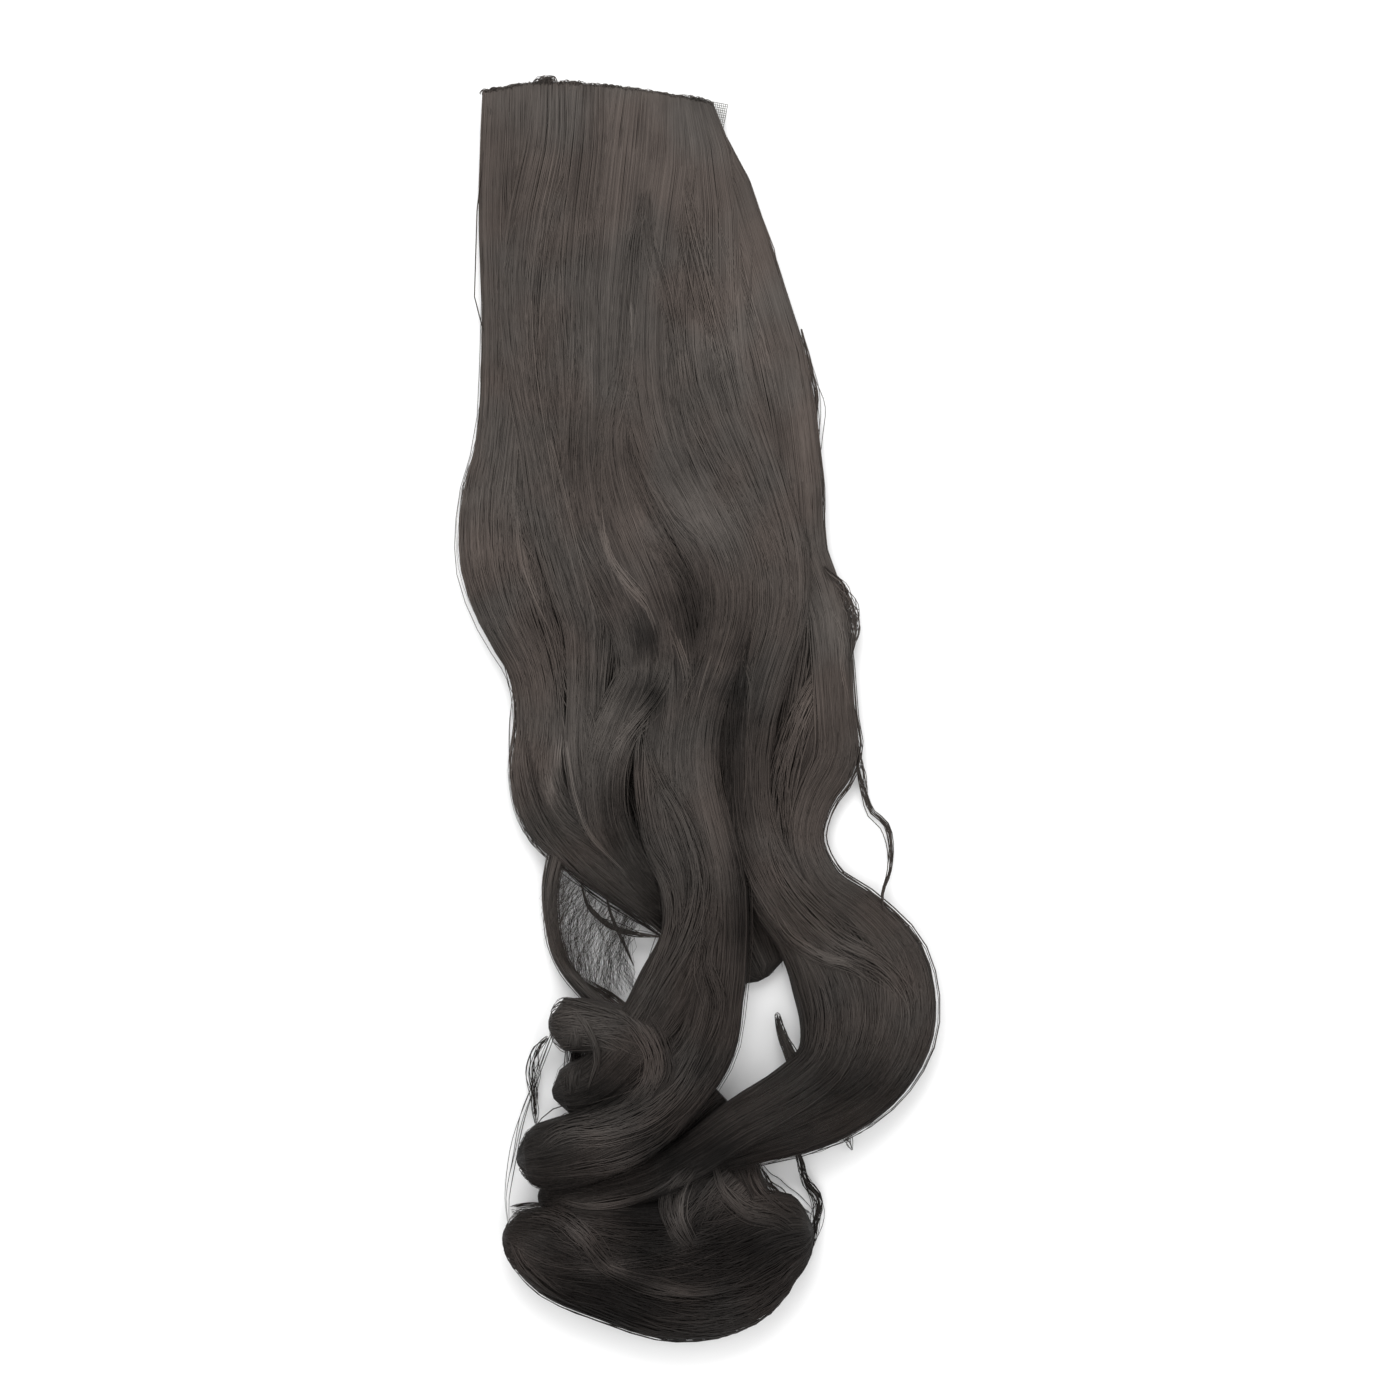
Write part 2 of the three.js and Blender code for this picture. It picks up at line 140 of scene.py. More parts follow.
# The sewing thread: corners of its zigzag, its width across the band and its middle as a share of the
# band's depth.
ZIGZAG_STEPS = 150
ZIGZAG_WIDTH = 0.0030
ZIGZAG_PLACE = 0.36

# Each lamp: its place, what it points at, the side of its square and its power in watts.
LAMPS = {
    "key_light": ((-0.15, 1.25, 1.25), (0, 0, 0), 1.1, 18),
    "left_light": ((-1.6, 0.3, 1.4), (0, -0.1, 0), 1.4, 7),
    "right_light": ((1.6, 0.3, 1.4), (0, -0.1, 0), 1.4, 7),
    "low_light": ((0.2, -1.6, 1.6), (0, -0.15, 0), 1.4, 6),
}
WORLD_LIGHT = 0.90

# The camera: the place under it as shares of LAYOUT_WIDTH and HAIR_LENGTH, its height and its lens.
CAMERA_PLACE = (0.496, 0.4864)
CAMERA_HEIGHT = 1.660
CAMERA_LENS = 85
CAMERA_SENSOR = 36

# Each row is one section of a lock, from its root to its tip: across and down are the place of the middle
# as shares of LAYOUT_WIDTH and HAIR_LENGTH, up its height as a share of PILE_HEIGHT, wide and thick the
# section as shares of LOCK_WIDTH and LOCK_THICKNESS. The solids are built from the same rows.
LOCKS = {
    "under_sheet": [
        (0.304, 0.013, 0.170, 4.12, 0.30),
        (0.316, 0.048, 0.140, 4.52, 0.50),
        (0.340, 0.112, 0.115, 5.24, 0.80),
        (0.372, 0.192, 0.113, 5.80, 0.90),
        (0.388, 0.272, 0.113, 6.08, 0.90),
        (0.396, 0.344, 0.113, 6.32, 0.90),
        (0.424, 0.408, 0.113, 6.48, 0.90),
        (0.464, 0.464, 0.113, 6.20, 0.90),
        (0.468, 0.516, 0.113, 5.88, 0.90),
        (0.468, 0.560, 0.113, 5.20, 0.90),
        (0.484, 0.600, 0.113, 4.40, 0.90),
        (0.524, 0.636, 0.113, 3.20, 0.90),
        (0.580, 0.676, 0.113, 2.20, 0.90),
        (0.628, 0.712, 0.113, 1.60, 0.90),
    ],
    "under_lock": [
        (0.524, 0.584, 0.125, 1.80, 0.90),
        (0.544, 0.648, 0.140, 1.44, 1.00),
        (0.528, 0.708, 0.150, 1.00, 1.10),
        (0.480, 0.764, 0.175, 1.00, 1.30),
        (0.480, 0.816, 0.200, 1.20, 1.50),
        (0.536, 0.852, 0.250, 1.40, 1.80),
        (0.572, 0.888, 0.300, 1.44, 2.00),
        (0.604, 0.920, 0.325, 1.52, 2.20),
    ],
    "bottom_roll": [
        (0.726, 0.912, 0.300, 1.20, 2.00),
        (0.652, 0.918, 0.330, 2.00, 2.50),
        (0.550, 0.936, 0.360, 2.84, 2.90),
        (0.444, 0.942, 0.375, 2.92, 3.00),
        (0.330, 0.936, 0.375, 2.52, 2.90),
        (0.224, 0.928, 0.360, 2.08, 2.70),
        (0.152, 0.919, 0.340, 1.38, 2.40),
        (0.106, 0.916, 0.300, 1.00, 2.00),
    ],
    "under_roll": [
        (0.560, 0.812, 0.200, 1.60, 1.40),
        (0.470, 0.844, 0.225, 1.92, 1.60),
        (0.370, 0.868, 0.250, 1.84, 1.80),
        (0.260, 0.882, 0.250, 1.40, 1.80),
        (0.176, 0.888, 0.225, 1.00, 1.60),
    ],
    "roll_tip": [
        (0.560, 0.866, 0.400, 1.20, 1.40),
        (0.512, 0.885, 0.500, 1.08, 1.20),
        (0.484, 0.901, 0.600, 0.80, 1.00),
        (0.476, 0.918, 0.650, 0.36, 0.60),
    ],
    "left_edge": [
        (0.116, 0.011, 0.175, 0.92, 0.36),
        (0.113, 0.048, 0.140, 0.98, 0.80),
        (0.106, 0.096, 0.125, 0.92, 0.95),
        (0.110, 0.160, 0.125, 0.88, 1.00),
        (0.112, 0.224, 0.130, 1.00, 1.10),
        (0.104, 0.280, 0.140, 1.04, 1.20),
        (0.090, 0.328, 0.150, 1.40, 1.30),
        (0.096, 0.376, 0.160, 1.60, 1.40),
        (0.126, 0.420, 0.175, 1.44, 1.40),
        (0.170, 0.462, 0.175, 1.16, 1.40),
        (0.184, 0.504, 0.160, 1.10, 1.30),
        (0.176, 0.548, 0.160, 1.16, 1.30),
        (0.208, 0.585, 0.190, 1.24, 1.50),
        (0.300, 0.615, 0.210, 1.16, 1.70),
        (0.390, 0.643, 0.200, 1.00, 1.50),
        (0.480, 0.668, 0.175, 0.76, 1.10),
    ],
    "left_fall": [
        (0.204, 0.008, 0.175, 1.00, 0.36),
        (0.200, 0.048, 0.225, 1.16, 0.80),
        (0.170, 0.104, 0.250, 1.20, 1.00),
        (0.158, 0.168, 0.260, 1.20, 1.10),
        (0.172, 0.232, 0.275, 1.24, 1.10),
        (0.198, 0.288, 0.290, 1.28, 1.20),
        (0.224, 0.344, 0.300, 1.44, 1.20),
        (0.258, 0.392, 0.300, 1.44, 1.20),
        (0.284, 0.432, 0.300, 1.28, 1.20),
        (0.280, 0.480, 0.290, 1.00, 1.20),
        (0.278, 0.528, 0.275, 1.00, 1.20),
        (0.304, 0.574, 0.260, 1.04, 1.30),
        (0.364, 0.618, 0.260, 1.00, 1.30),
        (0.450, 0.652, 0.250, 0.80, 1.10),
    ],
    "centre_left": [
        (0.288, 0.008, 0.175, 1.00, 0.36),
        (0.284, 0.048, 0.240, 1.16, 0.80),
        (0.266, 0.112, 0.300, 1.20, 1.00),
        (0.258, 0.176, 0.310, 1.24, 1.10),
        (0.264, 0.240, 0.325, 1.24, 1.10),
        (0.262, 0.296, 0.340, 1.20, 1.20),
        (0.280, 0.348, 0.350, 1.16, 1.20),
        (0.324, 0.392, 0.375, 1.12, 1.20),
        (0.368, 0.432, 0.400, 1.08, 1.30),
        (0.376, 0.468, 0.425, 1.00, 1.30),
        (0.344, 0.500, 0.425, 1.00, 1.30),
        (0.312, 0.540, 0.400, 0.96, 1.20),
        (0.312, 0.580, 0.375, 0.92, 1.20),
        (0.352, 0.618, 0.340, 0.84, 1.10),
        (0.424, 0.652, 0.300, 0.64, 0.90),
    ],
    "centre": [
        (0.368, 0.010, 0.175, 1.00, 0.36),
        (0.356, 0.052, 0.250, 1.16, 0.80),
        (0.340, 0.112, 0.300, 1.16, 1.00),
        (0.326, 0.176, 0.310, 1.12, 1.10),
        (0.322, 0.236, 0.325, 1.08, 1.10),
        (0.316, 0.288, 0.340, 1.04, 1.20),
        (0.344, 0.340, 0.350, 1.32, 1.20),
        (0.396, 0.388, 0.360, 1.48, 1.30),
        (0.436, 0.432, 0.375, 1.36, 1.30),
        (0.450, 0.480, 0.390, 1.28, 1.40),
        (0.436, 0.532, 0.390, 1.44, 1.40),
        (0.448, 0.580, 0.400, 1.52, 1.50),
        (0.484, 0.628, 0.425, 1.48, 1.50),
        (0.490, 0.676, 0.450, 1.44, 1.60),
        (0.446, 0.720, 0.450, 1.60, 1.80),
        (0.380, 0.758, 0.425, 1.32, 2.40),
        (0.308, 0.788, 0.400, 1.24, 2.80),
        (0.256, 0.798, 0.375, 1.16, 2.80),
        (0.206, 0.803, 0.375, 1.12, 2.60),
    ],
    "knob_curl": [
        (0.400, 0.766, 0.425, 1.20, 2.20),
        (0.320, 0.752, 0.450, 1.20, 2.20),
        (0.256, 0.747, 0.425, 1.16, 2.00),
        (0.198, 0.747, 0.400, 1.10, 1.80),
    ],
    "centre_right": [
        (0.444, 0.011, 0.175, 1.00, 0.36),
        (0.432, 0.060, 0.250, 1.16, 0.80),
        (0.412, 0.120, 0.300, 1.16, 1.00),
        (0.400, 0.180, 0.310, 1.16, 1.10),
        (0.402, 0.236, 0.325, 1.20, 1.10),
        (0.432, 0.288, 0.340, 1.28, 1.20),
        (0.488, 0.334, 0.350, 1.36, 1.30),
        (0.544, 0.376, 0.360, 1.36, 1.30),
        (0.560, 0.414, 0.390, 1.28, 1.30),
        (0.536, 0.456, 0.410, 1.16, 1.30),
        (0.502, 0.496, 0.425, 1.08, 1.30),
        (0.494, 0.540, 0.425, 1.04, 1.30),
        (0.516, 0.584, 0.440, 1.04, 1.30),
        (0.544, 0.628, 0.460, 1.04, 1.40),
        (0.548, 0.676, 0.500, 1.08, 1.50),
        (0.536, 0.720, 0.550, 1.12, 1.60),
        (0.506, 0.766, 0.600, 1.32, 1.80),
        (0.420, 0.808, 0.625, 1.44, 2.20),
        (0.324, 0.835, 0.575, 1.52, 2.80),
        (0.232, 0.848, 0.500, 1.52, 3.20),
        (0.164, 0.853, 0.450, 1.36, 3.00),
        (0.136, 0.854, 0.425, 1.20, 2.80),
    ],
    "right_fall": [
        (0.508, 0.014, 0.175, 0.88, 0.36),
        (0.516, 0.060, 0.210, 1.12, 0.80),
        (0.520, 0.120, 0.260, 1.28, 1.00),
        (0.520, 0.180, 0.290, 1.40, 1.10),
        (0.536, 0.236, 0.300, 1.52, 1.20),
        (0.584, 0.288, 0.310, 1.44, 1.20),
        (0.628, 0.332, 0.310, 1.32, 1.20),
        (0.660, 0.376, 0.325, 1.24, 1.20),
        (0.660, 0.420, 0.340, 1.16, 1.30),
        (0.628, 0.464, 0.350, 1.12, 1.30),
        (0.598, 0.508, 0.350, 1.08, 1.40),
        (0.590, 0.552, 0.350, 1.08, 1.40),
        (0.604, 0.596, 0.350, 1.16, 1.50),
        (0.652, 0.640, 0.325, 1.36, 1.60),
        (0.720, 0.674, 0.300, 1.56, 1.70),
        (0.768, 0.708, 0.275, 1.88, 1.80),
        (0.786, 0.746, 0.275, 1.84, 1.80),
        (0.756, 0.782, 0.325, 1.52, 1.80),
        (0.676, 0.806, 0.450, 1.32, 1.70),
        (0.584, 0.825, 0.550, 1.16, 1.60),
        (0.496, 0.848, 0.550, 1.00, 1.50),
        (0.400, 0.870, 0.450, 0.84, 1.40),
        (0.300, 0.882, 0.375, 0.68, 1.20),
        (0.212, 0.885, 0.325, 0.52, 1.00),
    ],
    "right_edge": [
        (0.508, 0.018, 0.175, 0.68, 0.36),
        (0.546, 0.060, 0.150, 0.76, 0.70),
        (0.584, 0.112, 0.140, 0.84, 0.90),
        (0.624, 0.168, 0.140, 0.96, 1.10),
        (0.662, 0.224, 0.150, 1.04, 1.20),
        (0.682, 0.276, 0.160, 1.04, 1.30),
        (0.698, 0.324, 0.160, 1.00, 1.30),
        (0.706, 0.366, 0.160, 0.92, 1.30),
        (0.744, 0.414, 0.160, 0.96, 1.30),
        (0.754, 0.452, 0.160, 1.04, 1.30),
        (0.758, 0.494, 0.160, 1.08, 1.30),
        (0.758, 0.532, 0.160, 1.28, 1.30),
        (0.716, 0.566, 0.175, 1.08, 1.40),
        (0.700, 0.602, 0.175, 1.00, 1.40),
        (0.740, 0.639, 0.190, 1.08, 1.50),
        (0.816, 0.664, 0.200, 1.24, 1.60),
        (0.882, 0.701, 0.225, 1.56, 1.80),
        (0.890, 0.750, 0.250, 1.68, 1.90),
        (0.840, 0.792, 0.300, 1.44, 1.80),
        (0.732, 0.820, 0.400, 1.36, 1.70),
        (0.612, 0.838, 0.475, 1.04, 1.50),
        (0.508, 0.854, 0.475, 0.76, 1.20),
    ],
    "side_strand": [
        (0.220, 0.602, 0.250, 0.40, 0.80),
        (0.200, 0.638, 0.150, 0.34, 0.60),
        (0.204, 0.674, 0.125, 0.34, 0.60),
        (0.228, 0.702, 0.150, 0.30, 0.60),
        (0.272, 0.723, 0.275, 0.30, 0.60),
        (0.320, 0.739, 0.425, 0.36, 0.70),
        (0.368, 0.762, 0.550, 0.40, 0.70),
    ],
    "inner_tuft": [
        (0.712, 0.795, 0.400, 0.40, 1.00),
        (0.684, 0.773, 0.300, 0.28, 0.70),
        (0.664, 0.755, 0.200, 0.18, 0.50),
        (0.654, 0.739, 0.125, 0.10, 0.30),
    ],
}

# How the strands of each lock are laid: how many there are, how many rings each tube has, and whether the
# lock hangs from the band.
STRANDS = {
    "under_sheet": (40, 26, True),
    "under_lock": (110, 24, False),
    "under_roll": (130, 18, False),
    "bottom_roll": (430, 24, False),
    "left_edge": (280, 36, True),
    "left_fall": (250, 34, True),
    "centre_left": (260, 36, True),
    "centre": (370, 40, True),
    "knob_curl": (140, 16, False),
    "right_edge": (340, 42, True),
    "right_fall": (335, 42, True),
    "centre_right": (375, 42, True),
    "roll_tip": (80, 14, False),
    "side_strand": (30, 22, False),
    "inner_tuft": (22, 12, False),
}

# The middle line of the band and on past its right end, as shares of LAYOUT_WIDTH and HAIR_LENGTH.
BAND_LINE = [
    (0.070, 0.010),
    (0.150, 0.004),
    (0.220, 0.003),
    (0.300, 0.005),
    (0.400, 0.010),
    (0.522, 0.018),
    (0.700, 0.032),
]

# Patches where the hair is made darker or lighter. Most are painted shade, in the hollows between
# locks and under the curls, and painted highlights, on the waves and the curls; some are the hair's own
# uneven tone. Each has the middle across and down, the reach across and down, as shares of LAYOUT_WIDTH
# and HAIR_LENGTH, and the change of tone.
LIGHT_AND_SHADE_PATCHES = [
    (0.30, 0.002, 0.34, 0.007, 0.22),
    (0.24, 0.018, 0.06, 0.011, 0.16),
    (0.12, 0.014, 0.05, 0.004, 0.40),
    (0.40, 0.912, 0.52, 0.088, -0.16),
    (0.40, 0.808, 0.60, 0.072, -0.05),
    (0.48, 0.416, 0.05, 0.044, -0.22),
    (0.58, 0.510, 0.05, 0.062, -0.52),
    (0.49, 0.426, 0.03, 0.027, -0.46),
    (0.39, 0.438, 0.02, 0.015, -0.50),
    (0.41, 0.490, 0.02, 0.016, -0.62),
    (0.39, 0.459, 0.02, 0.007, 0.35),
    (0.58, 0.652, 0.03, 0.048, -0.50),
    (0.57, 0.592, 0.03, 0.032, -0.20),
    (0.37, 0.488, 0.02, 0.024, -0.10),
    (0.32, 0.568, 0.03, 0.040, -0.20),
    (0.36, 0.596, 0.06, 0.037, -0.12),
    (0.28, 0.618, 0.08, 0.021, 0.12),
    (0.31, 0.803, 0.09, 0.010, -0.30),
    (0.30, 0.778, 0.04, 0.018, -0.30),
    (0.49, 0.848, 0.10, 0.016, -0.60),
    (0.40, 0.918, 0.04, 0.027, -0.75),
    (0.47, 0.021, 0.09, 0.011, -0.20),
    (0.38, 0.892, 0.06, 0.011, -0.30),
    (0.32, 0.965, 0.08, 0.016, -0.70),
    (0.40, 0.462, 0.04, 0.029, -0.18),
    (0.59, 0.930, 0.12, 0.029, -0.42),
    (0.30, 0.972, 0.16, 0.016, -0.35),
    (0.79, 0.796, 0.12, 0.021, -0.25),
    (0.18, 0.860, 0.04, 0.024, -0.08),
    (0.32, 0.376, 0.02, 0.048, -0.15),
    (0.38, 0.112, 0.02, 0.048, -0.15),
    (0.13, 0.108, 0.02, 0.048, -0.12),
    (0.68, 0.680, 0.06, 0.010, -0.20),
    (0.22, 0.740, 0.04, 0.011, -0.10),
    (0.38, 0.050, 0.09, 0.016, 0.12),
    (0.45, 0.064, 0.03, 0.014, 0.16),
    (0.48, 0.215, 0.05, 0.006, 0.36),
    (0.54, 0.206, 0.05, 0.006, 0.36),
    (0.51, 0.350, 0.04, 0.010, 0.24),
    (0.40, 0.352, 0.03, 0.010, 0.16),
    (0.61, 0.160, 0.06, 0.048, 0.18),
    (0.53, 0.136, 0.11, 0.088, 0.12),
    (0.64, 0.192, 0.07, 0.048, 0.14),
    (0.71, 0.264, 0.03, 0.064, 0.32),
    (0.14, 0.328, 0.04, 0.048, 0.10),
    (0.05, 0.352, 0.04, 0.048, 0.18),
    (0.22, 0.152, 0.10, 0.040, 0.05),
    (0.28, 0.292, 0.08, 0.032, -0.22),
    (0.22, 0.532, 0.01, 0.010, 0.90),
    (0.20, 0.558, 0.01, 0.012, 0.80),
    (0.52, 0.344, 0.08, 0.018, 0.26),
    (0.36, 0.386, 0.04, 0.029, 0.16),
    (0.50, 0.434, 0.04, 0.019, 0.20),
    (0.22, 0.524, 0.05, 0.048, 0.36),
    (0.76, 0.432, 0.04, 0.029, 0.30),
    (0.72, 0.493, 0.03, 0.021, 0.40),
    (0.48, 0.440, 0.20, 0.072, -0.10),
    (0.38, 0.466, 0.02, 0.005, 0.30),
    (0.29, 0.516, 0.04, 0.024, 0.12),
    (0.58, 0.458, 0.04, 0.008, 0.30),
    (0.77, 0.408, 0.03, 0.022, 0.16),
    (0.33, 0.518, 0.04, 0.034, 0.34),
    (0.48, 0.572, 0.06, 0.029, 0.20),
    (0.54, 0.602, 0.04, 0.027, 0.24),
    (0.68, 0.608, 0.07, 0.040, 0.10),
    (0.78, 0.688, 0.08, 0.016, 0.38),
    (0.89, 0.731, 0.09, 0.048, 0.48),
    (0.40, 0.408, 0.10, 0.032, -0.10),
    (0.30, 0.752, 0.08, 0.024, 0.12),
    (0.70, 0.616, 0.12, 0.040, 0.12),
    (0.31, 0.837, 0.06, 0.012, 0.80),
    (0.33, 0.856, 0.05, 0.008, 0.40),
    (0.29, 0.888, 0.06, 0.006, 0.85),
    (0.26, 0.910, 0.03, 0.010, 0.85),
    (0.33, 0.937, 0.03, 0.006, 0.80),
    (0.44, 0.957, 0.06, 0.006, 0.50),
    (0.15, 0.928, 0.04, 0.021, 0.50),
    (0.40, 0.773, 0.03, 0.027, 0.30),
    (0.46, 0.891, 0.02, 0.022, 0.95),
    (0.58, 0.880, 0.06, 0.014, 0.95),
    (0.25, 0.742, 0.05, 0.013, 0.62),
    (0.22, 0.848, 0.03, 0.021, 0.16),
    (0.43, 0.696, 0.06, 0.032, 0.12),
    (0.20, 0.656, 0.03, 0.048, 0.50),
    (0.14, 0.548, 0.02, 0.064, 0.30),
    (0.32, 0.760, 0.03, 0.024, 0.22),
    (0.16, 0.007, 0.16, 0.013, -0.10),
    (0.42, 0.011, 0.14, 0.013, -0.10),
    (0.27, 0.789, 0.05, 0.013, 0.12),
]
